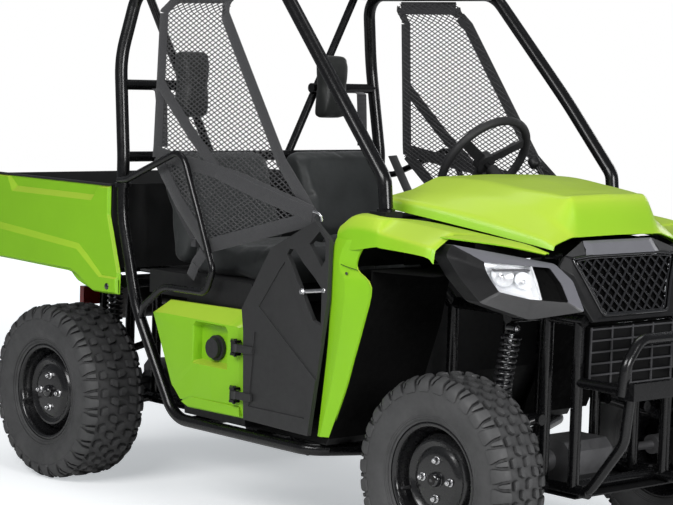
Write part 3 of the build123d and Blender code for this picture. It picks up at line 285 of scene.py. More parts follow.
def set_down(name, mesh, body, bevel, angle, segments, replaces, slot):
    """Makes a mesh's object, with smooth faces and rounded edges, and sets it on its body."""
    mesh.polygons.foreach_set("use_smooth", [True] * len(mesh.polygons))
    mesh.set_sharp_from_angle(angle=radians(angle))
    mesh.update()
    obj = bpy.data.objects.new(name, mesh)
    scene.collection.objects.link(obj)
    if bevel:
        mod = obj.modifiers.new("bevel", "BEVEL")
        mod.width, mod.segments, mod.limit_method = bevel / 1000, segments, "ANGLE"
        mod.angle_limit, mod.harden_normals = radians(angle), True
    if body:
        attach(obj, body)
    if replaces:
        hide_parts(*replaces)
    return obj


class Mesh:
    """Collects vertices in millimetres and faces, and becomes one object in metres."""

    def __init__(self):
        self.verts, self.faces = [], []

    def put(self, verts, faces):
        base = len(self.verts)
        self.verts += [tuple(v) for v in verts]
        self.faces += [tuple(base + i for i in f) for f in faces]
        return self

    def grid(self, rows, close_u=False, close_v=False, flip=False):
        """A sheet from rows of points, closed along its rows or across them where asked."""
        n, m = len(rows), len(rows[0])
        faces = []
        for i in range(n if close_u else n - 1):
            for j in range(m if close_v else m - 1):
                a, b = i * m + j, i * m + (j + 1) % m
                c, d = ((i + 1) % n) * m + (j + 1) % m, ((i + 1) % n) * m + j
                faces.append((a, d, c, b) if flip else (a, b, c, d))
        return self.put([p for row in rows for p in row], faces)

    def between(self, front, back, flip):
        """Two sheets with the same number of points, and the rim that joins them."""
        n, m = len(front), len(front[0])
        base = len(self.verts)
        self.grid(front, flip=not flip)
        self.grid(back, flip=flip)
        rim = [(i, 0) for i in range(n)] + [(n - 1, j) for j in range(1, m)]
        rim += [(i, m - 1) for i in range(n - 2, -1, -1)] + [(0, j) for j in range(m - 2, 0, -1)]
        for (i, j), (k, l) in looped(rim):
            p, q = base + i * m + j, base + k * m + l
            face = (p, q, q + n * m, p + n * m)
            self.faces.append(face if flip else face[::-1])
        return self

    def shell(self, rows, thickness, inward):
        """A closed panel: a sheet, a second one drawn back towards a point or along a function, and a rim."""
        n, m = len(rows), len(rows[0])
        outer = [[Vector(p) for p in row] for row in rows]
        back = []
        for i in range(n):
            line = []
            for j in range(m):
                du = outer[min(i + 1, n - 1)][j] - outer[max(i - 1, 0)][j]
                dv = outer[i][min(j + 1, m - 1)] - outer[i][max(j - 1, 0)]
                normal = du.cross(dv)
                normal = normal.normalized() if normal.length >= 1e-9 else Vector((0, 0, 1))
                target = Vector(inward(outer[i][j]) if callable(inward) else inward)
                if normal.dot(target - outer[i][j]) < 0:
                    normal.negate()
                line.append(outer[i][j] + normal * thickness)
            back.append(line)
        a, b = outer[0][0], outer[1][0]
        return self.between(outer, back, (outer[0][1] - a).cross(b - a).dot(back[0][0] - a) < 0)

    def tube(self, points, radius, sides=12, closed=False):
        """A round tube along points; radius is a number or one per point."""
        points = [Vector(p) for p in points]
        n = len(points)
        radii = radius if hasattr(radius, "__len__") else [radius] * n
        rows, side = [], None
        for k, p in enumerate(points):
            before = points[(k - 1) % n] if closed or k else p
            after = points[(k + 1) % n] if closed or k < n - 1 else p
            along = (after - before).normalized()
            if side is None:
                side = along.orthogonal().normalized()
            side = (side - along * side.dot(along)).normalized()
            up = along.cross(side)
            rows.append([p + (side * cos(a) + up * sin(a)) * radii[k] for a in around(sides)])
        base = len(self.verts)
        self.grid(rows, close_u=closed, close_v=True, flip=True)
        if not closed:
            self.ends(base, n, sides, 1)
        return self

    def ends(self, base, n, sides, order):
        """Closes both ends of n rings that start at a vertex."""
        for ring, turn in ((0, order), (n - 1, -order)):
            self.faces.append(tuple(base + ring * sides + i for i in range(sides))[::turn])

    def box(self, low, high):
        """A box between two corners."""
        xs, ys, zs = zip(low, high)
        faces = [(0, 1, 3, 2), (4, 6, 7, 5), (0, 4, 5, 1), (2, 3, 7, 6), (0, 2, 6, 4), (1, 5, 7, 3)]
        return self.put([(x, y, z) for x in xs for y in ys for z in zs], faces)

    def block(self, first, second, flip=False):
        """A solid between two loops with the same number of corners."""
        n = len(first)
        faces = [tuple(range(n)), tuple(range(2 * n - 1, n - 1, -1))]
        faces += [(i, n + i, n + (i + 1) % n, (i + 1) % n) for i in range(n)]
        return self.put([*first, *second], [f[::-1] for f in faces] if flip else faces)

    def lathe(self, profile, centre, axis, sides):
        """Turns a profile of (radius, height along the axis) round an axis."""
        axis, centre = Vector(axis).normalized(), Vector(centre)
        side = Vector((1, 0, 0)) if abs(axis.y) > 0.99 else axis.orthogonal().normalized()
        up = axis.cross(side)
        rows = []
        for a in around(sides):
            ray = side * cos(a) + up * sin(a)
            rows.append([centre + ray * r + axis * h for r, h in profile])
        return self.grid(rows, close_u=True)

    def disc_rod(self, centre, axis, radius, length, sides, edge=0.0):
        """A rod or disc from its base centre along an axis, with a turned edge."""
        e = min(edge, radius * 0.9, length * 0.45)
        profile = [(0, length), (radius - e, length), (radius, length - e), (radius, e), (radius - e, 0), (0, 0)]
        return self.lathe(profile, centre, axis, sides)

    def bolt(self, centre, axis, size, height=None):
        """A hexagon head with a washer under it; size is across its corners."""
        height = height or size * 0.4
        base = size * 0.10  # the washer's thickness
        self.disc_rod(centre, axis, size * 0.68, base, 20, size * 0.03)
        r, c = size / 2, size * 0.06
        profile = [(0, base + height), (r * 0.86, base + height), (r, base + height - c), (r, base)]
        return self.lathe(profile, centre, axis, 6)

    def dome(self, centre, axis, radius, height, sides, rings, skirt):
        """A rounded head on a short skirt."""
        angles = [pi / 2 * k / rings for k in range(rings + 1)]
        profile = [(radius * sin(a), skirt + height * cos(a)) for a in angles]
        return self.lathe(profile + [(radius, 0)], centre, axis, sides)

    def strap(self, points, width, thick, across):
        """A flat band along points; across is its width's direction, or one for each point."""
        points = [Vector(p) for p in points]
        n = len(points)
        w, t = width / 2, thick / 2
        outline = [(-w, -t * 0.4), (-w, t * 0.4), (-w * 0.9, t), (w * 0.9, t)]
        outline += [(-a, -b) for a, b in outline]
        rows = []
        for k, p in enumerate(points):
            along = (points[min(k + 1, n - 1)] - points[max(k - 1, 0)]).normalized()
            wide = Vector(across[k] if hasattr(across[0], "__len__") else across)
            wide = (wide - along * wide.dot(along)).normalized()
            out = along.cross(wide)
            rows.append([p + wide * a + out * b for a, b in outline])
        base = len(self.verts)
        self.grid(rows, close_v=True)
        self.ends(base, n, len(outline), -1)
        return self

    def flipped(self):
        """The mirror image across the centre plane."""
        return Mesh().put([(x, -y, z) for x, y, z in self.verts], [f[::-1] for f in self.faces])

    def mirror(self):
        """Adds the mirror image."""
        other = self.flipped()
        return self.put(other.verts, other.faces)

    def done(
        self, name, materials, body="chassis", tones=None, bevel=0.0, angle=32, segments=2, slot=None, replaces=()
    ):
        """Makes the object; tones are its faces' places in a list of materials."""
        mesh = bpy.data.meshes.new(name)
        mesh.from_pydata([tuple(c / 1000 for c in v) for v in self.verts], [], self.faces)
        mesh.validate()
        for m in [materials] if isinstance(materials, str) else materials:
            mesh.materials.append(mat[m])
        if tones:
            mesh.polygons.foreach_set("material_index", tones)
        return set_down(name, mesh, body, bevel, angle, segments, replaces, slot)


def curve(points, per):
    """A smooth run through points, with a number of steps between each two."""
    points = [Vector(p) for p in points]
    n = len(points)
    out = []
    for k in range(n - 1):
        b, c = points[k], points[k + 1]
        a = points[k - 1] if k else b * 2 - c
        d = points[k + 2] if k + 2 < n else c * 2 - b
        for t in (s / per for s in range(per)):
            square, cube = 2 * a - 5 * b + 4 * c - d, 3 * b - a - 3 * c + d
            out.append(0.5 * (2 * b + (c - a) * t + square * t * t + cube * t**3))
    return out + [points[-1]]


def bent(points, radius, steps, closed=False):
    """Straight runs with their corners rounded by a radius."""
    points = [Vector(p) for p in points]
    n = len(points)
    out = [] if closed else [points[0]]
    for k in range(0 if closed else 1, n if closed else n - 1):
        a, b, c = points[k - 1], points[k], points[(k + 1) % n]
        u, v = (a - b), (c - b)
        reach = min(radius, u.length * 0.49, v.length * 0.49)
        p, q = b + u.normalized() * reach, b + v.normalized() * reach
        for t in (s / steps for s in range(steps + 1)):
            out.append(p * (1 - t) ** 2 + b * 2 * t * (1 - t) + q * t * t)
    return out if closed else out + [points[-1]]


def rounded(loop, radius, steps=3):
    return bent(loop, radius, steps, closed=True)


def blend_rows(rows, per_u, radius, per_v):
    """Refines a panel's stations: smooth from row to row, with rounded creases along each row."""
    lines = [curve(line, per_u) for line in zip(*rows)]
    return [bent(station, radius, per_v) for station in zip(*lines)]


def crossings(p, d, loop):
    """Where a line meets a closed outline: how far along the line and along the side, and the side's ends."""
    for a, b in looped(loop):
        ex, ez = b[0] - a[0], b[-1] - a[-1]
        den = d[0] * ez - d[1] * ex
        if abs(den) > 1e-9:
            dx, dz = a[0] - p[0], a[-1] - p[1]
            yield (dx * ez - dz * ex) / den, (dx * d[1] - dz * d[0]) / den, a, b


def clip_line(p, d, loop):
    """The stretches of a line inside a closed outline, as pairs of distances along it."""
    hits = sorted(t for t, share, *_ in crossings(p, d, loop) if 0 <= share < 1)
    return list(zip(hits[::2], hits[1::2]))


def dressed(node, material, body, width, slot):
    """Stands for a flat-sided CAD node: its form with flat faces joined up and every edge rounded."""
    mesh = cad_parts[node].data.copy()
    work = bmesh.new()
    work.from_mesh(mesh)
    bmesh.ops.remove_doubles(work, verts=work.verts, dist=1e-5)
    bmesh.ops.dissolve_limit(work, angle_limit=radians(1), verts=work.verts, edges=work.edges)
    work.to_mesh(mesh)
    work.free()
    for held in range(len(mesh.materials)):
        mesh.materials[held] = mat[material]
    return set_down(node + "_finish", mesh, body, width, 32, 2, [node], slot)


# ---------------------------------------------------------------- wheels
wheels = {  # middle x and y, and the tyre's width
    "front_right": (927.5, -500, 190),
    "front_left": (927.5, 500, 190),
    "rear_right": (-927.5, -515, 240),
    "rear_left": (-927.5, 515, 240),
}
axle_z = 300.0
tread_top = 299.9  # the knobs' greatest radius
lug_count = 30  # knobs of each kind on each side
lug_pitch = 2 * pi / lug_count
rim_inset = 20  # from the tyre's side to the rim's
disc_inset = 20  # from the rim's side to its disc's face


def section(half):
    """The tyre's section from its middle to its bead: distance from the middle plane and radius."""
    points = [
        (0, 288.5), (half - 46, 288), (half - 26, 284.5), (half - 13, 276), (half - 6, 262), (half - 3, 245),
        (half - 2, 225), (half - 4, 206), (half - 9, 190), (half - 13, 181), (half - 12, 177), (half - 17, 172),
        (half - 20.5, 165.5),
    ]
    return curve([(a, b, 0) for a, b in points], 4)


def along_section(line):
    """A function from distance along the section to its point and outward normal, and two measures of it."""
    steps = [0.0]
    for a, b in zip(line, line[1:]):
        steps.append(steps[-1] + (b - a).length)

    def at(t):
        t = max(0.0, min(t, steps[-1]))
        k = max(i for i in range(len(steps) - 1) if steps[i] <= t)
        share = (t - steps[k]) / (steps[k + 1] - steps[k])
        d = (line[k + 1] - line[k]).normalized()
        return line[k].lerp(line[k + 1], share), Vector((-d.y, d.x, 0))

    def distance(radius):
        """How far along the section it comes down to a radius."""
        return next(t for t, p in zip(steps, line) if p.y <= radius)

    return at, steps[-1], distance


def tyre_mesh(half, outward):
    """A knobbly off-road tyre about the Y axis, its outer side towards outward."""
    mesh = Mesh()
    line = section(half)
    at, total, distance = along_section(line)
    turns = 120
    profile = [(p.y, -p.x) for p in reversed(line[1:])] + [(p.y, p.x) for p in line]
    mesh.grid(spun(profile, turns), close_u=True, flip=True)

    def lug(middle, stations, side, cross=3, taper=0.82):
        """One block of tread: stations of (distance from the middle, shift, half angle, height)."""
        low, high = [], []
        for i, (t, shift, spread, height) in enumerate(stations):
            lean = 2.6 * (1 if i == 0 else -1 if i == len(stations) - 1 else 0)
            lo, hi = [], []
            for j in range(cross + 1):
                share = 2 * j / cross - 1
                top = height * (1 - 0.10 * share**4)
                for line_, wide, lift, move in ((lo, 1.0, -1.5, 0.0), (hi, taper, top, lean)):
                    p, n = at(t + move)
                    a = middle + shift + spread * wide * share
                    r, y = min(p.y + n.y * lift, tread_top), min(p.x + n.x * lift, half - 0.2)
                    line_.append((r * cos(a), y * side, r * sin(a)))
            low.append(lo)
            high.append(hi)
        mesh.between(low, high, side < 0)

    edge = half - 40  # where the crown starts to turn down
    d = radians(1)
    ends = [distance(r) for r in (287, 280, 270, 259, 250)]
    inner = [
        (3, -0.4 * d, 2.5 * d, 11.3), (edge * 0.24, 0.3 * d, 2.9 * d, 11.6), (edge * 0.42, 0.9 * d, 2.1 * d, 11.2),
    ]
    middles = [
        (edge * 0.55, 0.4 * d, 2.4 * d, 11.2), (edge * 0.72, 0, 2.9 * d, 11.4),
        (edge * 0.90, -0.5 * d, 2.4 * d, 11.0),
    ]
    shoulder = [
        (edge * 1.02, 0, 2.7 * d, 10.8), (ends[0], 0, 2.9 * d, 10.4), (ends[1], 0, 3.5 * d, 9.0),
        (ends[2], 0, 4.4 * d, 6.5), (ends[3], 0, 5.1 * d, 4.6), (ends[4], 0, 4.2 * d, 3.0),
    ]
    gap = [
        (edge * 1.06, 0, 1.9 * d, 9.0), (ends[0], 0, 1.9 * d, 8.6), (ends[1], 0, 1.4 * d, 6.8),
        (ends[2], 0, 0.7 * d, 4.0),
    ]
    for k in range(lug_count):
        for side in (-1, 1):
            middle = pi / 2 + lug_pitch * (k + (0.5 if side == outward else 0.0))
            lug(middle, inner, side)
            lug(middle + lug_pitch / 2, middles, side)
            lug(middle, shoulder, side, cross=4, taper=0.86)
            lug(middle + lug_pitch / 2, gap, side, cross=2, taper=0.72)
    # rings on both sides
    for side in (-1, 1):
        for share, width, height in ((0.90, 3.4, 1.6), (0.952, 2.0, 1.4)):
            ring = []
            for along, lift in ((-width, -0.4), (-width * 0.4, height), (width * 0.4, height), (width, -0.4)):
                q, m = at(total * share + along)
                ring.append((q.y + m.y * lift, min(q.x + m.x * lift, half - 0.2) * side))
            mesh.grid(spun(ring, turns), close_u=True, flip=side > 0)
    return mesh


def rim_mesh(h, out):
    """A steel wheel: lipped flange, drop centre and dished disc, towards out."""
    face = h - disc_inset
    barrel = [
        (156, h - 1), (160, h), (163.6, h - 1.5), (163.8, h - 5), (160, h - 6.5), (154, h - 7), (152, h - 10),
        (151.6, h - 22), (148, h - 28), (137, h - 40), (135.5, h - 48), (135.5, -h + 52), (138, -h + 40),
        (150, -h + 26), (151.6, -h + 20), (152, -h + 10), (154, -h + 7), (163.8, -h + 5), (163.6, -h + 1.5),
        (160, -h), (156, -h + 1), (148, -h + 9), (146, -h + 26), (132, -h + 44), (132, h - 52), (134, h - 42),
        (145, h - 30), (148, h - 14), (150, h - 6), (153, h - 2),
    ]
    # the disc, pressed with a raised ring and a bowl for the nuts
    disc = [
        (13.0, face + 1), (20, face + 1.2), (40, face + 1), (70, face), (80, face - 1), (88, face - 6),
        (94, face - 9), (101, face - 6), (108, face - 1), (114, face - 2), (120, face - 9), (128, face - 22),
        (134, face - 30),
    ]
    disc += [(r, y - 6) for r, y in disc[::-1]]
    mesh = Mesh()
    for loop, flip in ((barrel, out > 0), (disc, out < 0)):
        mesh.grid(spun([(r, y * out) for r, y in loop], 96), close_u=True, close_v=True, flip=flip)
    return mesh


def wheel_trim(half, outward):
    """Nuts with studs, hub cap and valve stem of one wheel, all on its outer side."""
    face = half - disc_inset
    nuts, cap, valve = Mesh(), Mesh(), Mesh()
    axis, hub = (0, outward, 0), (0, face * outward, 0)
    for k in range(4):
        a = radians(90 + 90 * k)
        x, z = 55 * cos(a), 55 * sin(a)
        spot = (x, (face + 0.6) * outward, z)
        nuts.disc_rod(spot, axis, 12.5, 2.5, 24, 1)
        nuts.lathe([(0, 15), (5, 15), (8.6, 13.4), (9.6, 11), (9.6, 2.4)], spot, axis, 6)
        nuts.disc_rod((x, (face + 14) * outward, z), axis, 5, 4.5, 12, 1)
    cap.lathe([(0, 22), (9, 21.5), (16, 19), (20, 14), (21.5, 8), (21.5, 2), (24, 1), (24.5, 0)], hub, axis, 40)
    cap.lathe([(0, 24), (5, 23.6), (7, 21)], hub, axis, 24)
    a = radians(200)
    places = ((118, -6), (116, 10), (114, 26), (113.4, 24))  # radius, distance out from the disc's face
    stem = [(r * cos(a), (face + out) * outward, r * sin(a)) for r, out in places]
    valve.tube(stem[:3], [5, 4.4, 3.4], 12)
    valve.disc_rod(stem[3], axis, 4, 9, 12, 1)
    return nuts, cap, valve


for place, (x, y, width) in wheels.items():
    outward = 1 if y > 0 else -1
    half = width / 2
    nuts, cap, valve = wheel_trim(half - rim_inset, outward)
    for mesh, name, material, angle, bevel, node in (
        (tyre_mesh(half, outward), "tyre_%s_tread", "tyre_rubber", 40, 0, "tyre_"),
        (rim_mesh(half - rim_inset, outward), "rim_%s_steel", "rim_paint", 38, 0, "rim_"),
        (nuts, "nuts_%s", "zinc_plate", 32, 0.5, None),
        (cap, "cap_%s", "gloss_black", 32, 0, None),
        (valve, "valve_%s", "soft_rubber", 32, 0, None),
    ):
        mesh.verts = [(a + x, b + y, c + axle_z) for a, b, c in mesh.verts]
        mesh.done(
            name % place, material, "wheel_" + place, angle=angle, bevel=bevel,
            replaces=[node + place] if node else (), slot=material if node else None,
        )

# ---------------------------------------------------------------- green panels
hood_stations = [  # x, then (half width, height) from the edge inward, and the middle's height
    (562, (440, 1038), (436, 1072), (335, 1090), (230, 1127), 1131),
    (720, (394, 1014), (388, 1050), (306, 1090), (214, 1128), 1132),
    (865, (348, 990), (342, 1022), (270, 1079), (200, 1114), 1118),
    (1000, (303, 966), (297, 994), (229, 1040), (176, 1101), 1104),
    (1048, (286, 957), (280, 982), (212, 1012), (165, 1088), 1091),
    (1079, (273, 950), (268, 966), (198, 986), (158, 985), 987),
]
rows = []
for x, *half, middle in hood_stations:
    left = [(x, y, z) for y, z in half[::-1]]
    rows.append([(x, -y, z) for y, z in half] + [(x, 0, middle)] + left)
hood = Mesh().shell(blend_rows(rows, 6, 16, 4), 4.0, lambda p: (p.x - 40, 0, 700))
hood.done("hood_skin", "green_panel", "hood", replaces=["hood"], slot="green_panel", angle=50)

fender_top = [  # x, then (half width, height) from the outside inward
    (513, (586, 930), (585, 965), (574, 986), (546, 992)),
    (577, (590, 920), (590, 985), (572, 1022), (546, 1026)),
    (679, (592, 937), (590, 983), (568, 1018), (546, 1022)),
    (712, (592, 936), (588, 978), (520, 1016), (406, 1008)),
    (880, (590, 928), (584, 958), (505, 1000), (352, 984)),
    (906, (575, 908), (570, 946), (500, 989), (344, 980)),
]
fender_strip = [
    (900, (545, 984), (500, 988), (440, 987), (346, 981)),
    (1010, (402, 964), (385, 967), (350, 968), (310, 964)),
    (1076, (300, 940), (296, 943), (291, 945), (286, 944)),
]
fender_post = [  # height, then x and half width of the front edge and of the rear edge
    (354, 450, 582, 489, 578),
    (500, 470, 584, 556, 580),
    (600, 484, 586, 592, 582),
    (700, 493, 588, 628, 584),
    (817, 492, 589, 659, 585),
    (864, 491, 589, 601, 587),
    (905, 491, 588, 606, 588),
    (950, 512, 586, 640, 588),
]
fender = Mesh()
for stations, blend, thickness, inward in (
    (fender_top, (4, 9, 3), 4.5, (760, -300, 700)),
    (fender_strip, (6, 5, 3), 4.0, (1000, -400, 700)),
):
    rows = [[(x, -y, z) for y, z in rest] for x, *rest in stations]
    fender.shell(blend_rows(rows, *blend), thickness, inward)
post = []
swell = Vector((0, -6, 0))  # how far the post stands out between its edges
for z, xa, ya, xb, yb in fender_post:
    a, b = Vector((xa, -ya, z)), Vector((xb, -yb, z))
    between = [a.lerp(b, share) + swell * out for share, out in ((0.04, 0.4), (0.42, 1), (0.96, -0.9))]
    post.append([a, *between, b - swell * 0.8])
fender.shell(blend_rows(post, 4, 3, 2), 4.5, (600, 0, 700))
fender.mirror()
seam = Mesh()
seam.strap([(513, -589.4, 880), (560, -594.6, 872), (606, -586.5, 864)], 2.0, 1.2, (0, 0, 1))
for spot, out, radius in (((566, -573, 997), (0, -0.5, 0.85), 7.2), ((568, -593.6, 851), (0, -1, 0), 4.8)):
    seam.dome(spot, out, radius, 2.2, 16, 3, 1)
seam.mirror().done("fender_seams_and_bolts", "gloss_black", angle=40)
knob = Mesh()
knob.disc_rod((672, -389, 1038), (0, -1, 0.15), 13, 6, 20, 2)
knob.box((654, -398, 1030), (690, -391, 1044))
knob.mirror().done("hood_latches", "gloss_black", "hood", bevel=1.5)
fender.done("fender_skins", "green_panel", replaces=["front_fenders"], slot="green_panel", angle=50)

bed_side = [
    [(-1320, 590, 744), (-1320, 599, 832), (-1320, 599, 884), (-1320, 599, 1029.7)],
    [(-873, 590, 733), (-873, 599, 826), (-873, 599, 880), (-873, 599, 1029.7)],
    [(-783, 590, 699), (-775, 599, 812), (-770, 599, 872), (-770, 599, 1029.7)],
    [(-667, 590, 672), (-667, 599, 760), (-667, 599, 830), (-667, 599, 1029.7)],
    [(-532, 599, 676), (-530, 599, 745), (-592, 599, 935), (-592, 599, 1029.7)],
]
rows = [[(x, -y, z) for x, y, z in row] for row in bed_side]
bed_skin = Mesh().shell(blend_rows(rows, 3, 6, 3), 4.0, (-900, 0, 880))
# raised areas of the bed's side, each with its foot and its face as loops of (x, z)
upper_foot = [
    (-1320, 1029), (-1180, 1029), (-1134, 999), (-660, 999), (-632, 1029), (-593, 1029), (-593, 935), (-531, 747),
    (-531, 722), (-1320, 740),
]
upper_face = [
    (-1319, 1025), (-1190, 1025), (-1162, 976), (-690, 976), (-646, 1024), (-598, 1024), (-597, 936), (-536, 748),
    (-536, 724), (-1319, 742),
]
lower_foot = [
    (-1320, 884), (-751, 841), (-608, 736), (-533, 736), (-529, 676), (-664, 674), (-756, 718), (-790, 731),
    (-1320, 739),
]
lower_face = [
    (-1319, 846), (-757, 808), (-629, 727), (-538, 727), (-534, 682), (-662, 680), (-752, 726), (-790, 739),
    (-1319, 747),
]
for foot, face, low, high in ((upper_foot, upper_face, -597, -609), (lower_foot, lower_face, -604, -616)):
    bed_skin.block([(x, low, z) for x, z in foot], [(x, high, z) for x, z in face])
bed_skin.mirror().done(
    "bed_side_skins", "green_panel", "bed", bevel=1.5, angle=14, replaces=["bed_side_panels"], slot="green_panel"
)
bed_bolts = Mesh()
for x, z in ((-580, 699), (-1290, 770)):
    bed_bolts.dome((x, -615.8, z), (0, -1, 0), 11, 3, 20, 4, 1.0)
bed_bolts.mirror().done("bed_side_bolts", "gloss_black", "bed")


def star(centre, loops):
    """Loops of (x, y, z) corners as rings of points on the same rays from a centre, through each corner."""
    cx, _, cz = centre
    angles = {round(atan2(z - cz, x - cx), 4) for loop in loops for x, y, z in loop}
    angles = sorted(angles | {round(angle - pi, 4) for angle in around(60)})
    rings = []
    for loop in loops:
        ring = []
        for angle in angles:
            hits = crossings((cx, cz), (cos(angle), sin(angle)), loop)
            share, a, b = next(hit[1:] for hit in hits if hit[0] > 0 and -1e-4 <= hit[1] <= 1 + 1e-4)
            ring.append(Vector(a).lerp(Vector(b), share))
        rings.append(ring)
    return rings


# the panel below the seat, ring by ring from its back edge round the front to the filler pocket
panel_rings = [
    [(-351, -566, 638), (-284, -566, 684), (95, -566, 690), (110, -566, 677), (122, -566, 356), (-161, -566, 354),
     (-247, -566, 414)],
    [(-351, -593, 638), (-284, -576, 684), (95, -576, 690), (110, -578, 677), (122, -584, 356), (-161, -592, 354),
     (-247, -592, 414)],
    [(-349, -596, 637), (-283, -578, 682), (94, -578, 688), (108, -580, 676), (120, -586, 357), (-160, -596, 356),
     (-245, -595, 415)],
    [(-331, -600, 639), (-290, -600, 642), (80, -600, 639), (89, -600, 636), (101, -600, 398), (-136, -600, 398),
     (-192, -600, 376), (-228, -596, 404), (-214, -600, 443), (-262, -600, 592)],
    [(-137, -600, 500), (38, -600, 500), (38, -600, 620), (24, -600, 635), (-123, -600, 635), (-137, -600, 620)],
    [(-135, -596, 502), (36, -596, 502), (36, -596, 619), (23, -596, 633), (-122, -596, 633), (-135, -596, 619)],
    [(-129, -567, 512), (30, -567, 512), (30, -567, 613), (18, -567, 624), (-116, -567, 624), (-129, -567, 613)],
    [(-108, -564.5, 532), (10, -564.5, 532), (10, -564.5, 600), (4, -564.5, 606), (-100, -564.5, 606),
     (-108, -564.5, 600)],
]
panel = Mesh()
pocket = (-50, -564.5, 567)  # the middle of its floor
rings = star(pocket, [ring[::-1] for ring in panel_rings])
panel.grid(rings, close_v=True, flip=True)
count = len(rings[-1])
panel.put([pocket] + rings[-1], [(0, 1 + k, 1 + (k + 1) % count) for k in range(count)])
ledge = [(-186, 371), (-130, 392), (104, 392), (107, 363), (-158, 361)]
panel.block(*([(x, y, z) for x, z in ledge] for y in (-602.5, -590)), flip=True)
panel.mirror().done(
    "side_panel_skins", "green_panel", bevel=2.0, angle=12, segments=3, replaces=["side_panels"], slot="green_panel"
)

# ---------------------------------------------------------------- nose, lamps and grille
bezel_rim = [
    (936, -537.5, 965.5), (922, -544.5, 934.5), (984, -545, 873), (1048, -530, 812),
    (1118, -405, 765), (1217, -285, 792), (1155, -270, 872), (1089, -275, 914),
]
lamp_rim = [
    (1009, -480, 920), (1022, -484, 898), (1046, -486, 872), (1075, -482, 843),
    (1133, -415, 824), (1188, -318, 816), (1142, -300, 862), (1098, -304, 904),
]


def centre_of(loop):
    return sum((Vector(p) for p in loop), Vector()) / len(loop)


bezel = Mesh()
outer, inner = rounded(bezel_rim, 10), rounded(lamp_rim, 6)
back_v = Vector((-64, 10, -2))  # the way into the lamp
crest = Vector((0.7, -0.4, 0.5)) * 1.5  # how far the housing's face stands out halfway
rows = [[p + back_v for p in outer], [p + back_v * 0.04 for p in outer], outer]
rows += [[p.lerp(q, 0.5) + crest for p, q in zip(outer, inner)], inner]
rows += [[p + back_v * t for p in inner] for t in (0.08, 0.5)]
bezel.grid(rows, close_v=True, flip=True)
edge_tones = [1, 1, 1, 2, 2, 0, 0, 0]  # of the edge after each corner: 0 pale top, 1 black side, 2 dark foot
tones = [edge_tones[(j - 1) // 4 % 8] for _ in rows[1:] for j in range(32)]
bezel.mirror().done(
    "lamp_housings", ["bezel_pale", "bezel_black", "bezel_dark"], tones=tones * 2, bevel=1.2, angle=18,
    replaces=["headlight_bezels"], slot="black_plastic",
)

lamp_rim = [Vector(p) for p in lamp_rim]
split_top = lamp_rim[7].lerp(lamp_rim[0], 0.27)  # the ends of the divider between lamp and recess
split_low = lamp_rim[4].lerp(lamp_rim[5], 0.30)
lamp_loop = lamp_rim[:5] + [split_low, split_top]
dark_loop = [split_top, split_low, *lamp_rim[5:]]
normal = Vector((0.78, -0.35, 0.5)).normalized()
middle = centre_of(lamp_loop)
lens_rim = rounded([middle + (p - middle) * 0.985 for p in lamp_loop], 6)
middle = centre_of(lens_rim)
lamp = Mesh()
bulge = [(t * 0.99, normal * 7 * (1 - (1 - t) ** 2)) for t in (s / 6 for s in range(7))]
rows = [[p.lerp(middle, t) + back_v * 0.10 + out for p in lens_rim] for t, out in bulge]
lamp.grid(rows, close_v=True, flip=True)
lamp.faces.append(tuple(range(len(lamp.verts) - len(lens_rim), len(lamp.verts)))[::-1])
lamp.mirror().done("lamp_lenses", "clear_lens", angle=60, replaces=["headlights"], slot="lamp_clear")

bowl, bulbs, brow, recess, divider = (Mesh() for _ in range(5))
wall = ((1, 0.14), (0.93, 0.45), (0.6, 0.62), (0.02, 0.62))  # shares of the rim and of the depth
bowl.grid([[middle + (p - middle) * t + back_v * k for p in lens_rim] for t, k in wall], close_v=True, flip=True)
for spot, radius in ((1058, -434, 874), 33), ((1096, -388, 862), 27):
    base = Vector(spot) + back_v * 0.5
    profile = [(radius * k / 8, 18 * (k / 8) ** 2) for k in range(8, -1, -1)]
    bowl.lathe(profile + [(0.5, 0)], base, normal, 40)
    bulbs.disc_rod(base, normal, 4, 10, 16, 1)
    bulbs.dome(base + normal * 9, normal, 7, 5, 20, 4, 4)
bowl.mirror().done("lamp_reflectors", "lamp_reflector", angle=30)
bulbs.mirror().done("lamp_bulb_caps", "zinc_plate")
for mesh, a, b, depths, lift, width, thick, across in (
    (brow, lamp_rim[0].lerp(split_low, 0.22), split_top.lerp(split_low, 0.12), (0.3, 0.26), 0, 5, 14, (0, -0.3, 1)),
    (divider, split_top, split_low, (0.12, 0.10), 3, 8, 5, normal),
):
    ends, half_way = depths
    run = [a + back_v * ends, a.lerp(b, 0.5) + back_v * half_way + normal * lift, b + back_v * ends]
    mesh.strap(run, width, thick, across)
brow.mirror().done("lamp_brows", "charcoal_panel")
middle = centre_of(dark_loop)
wall = ((0.0, 0.06), (0.03, 0.1), (0.12, 0.42), (0.97, 0.46))  # shares of the way inward and of the depth
recess.grid([[p.lerp(middle, t) + back_v * k for p in dark_loop] for t, k in wall], close_v=True, flip=True)
# painted shade: the recess beside the lamp is near-black and matte
recess.mirror().done("lamp_side_recesses", "dark_void", bevel=1.0, angle=25)
divider.mirror().done("lamp_dividers", "lamp_reflector", bevel=0.8)

nose_right = [(1084, -160, 968), (1106, -252, 934), (1096, -262, 905), (1168, -190, 752)]
grille_right = [(1107, -150, 932), (1109, -228, 926), (1131, -186, 856), (1160, -142, 766)]


def both_ways(loop):
    """A loop down the right side carried on up the left."""
    return loop + [(x, -y, z) for x, y, z in loop[::-1]]


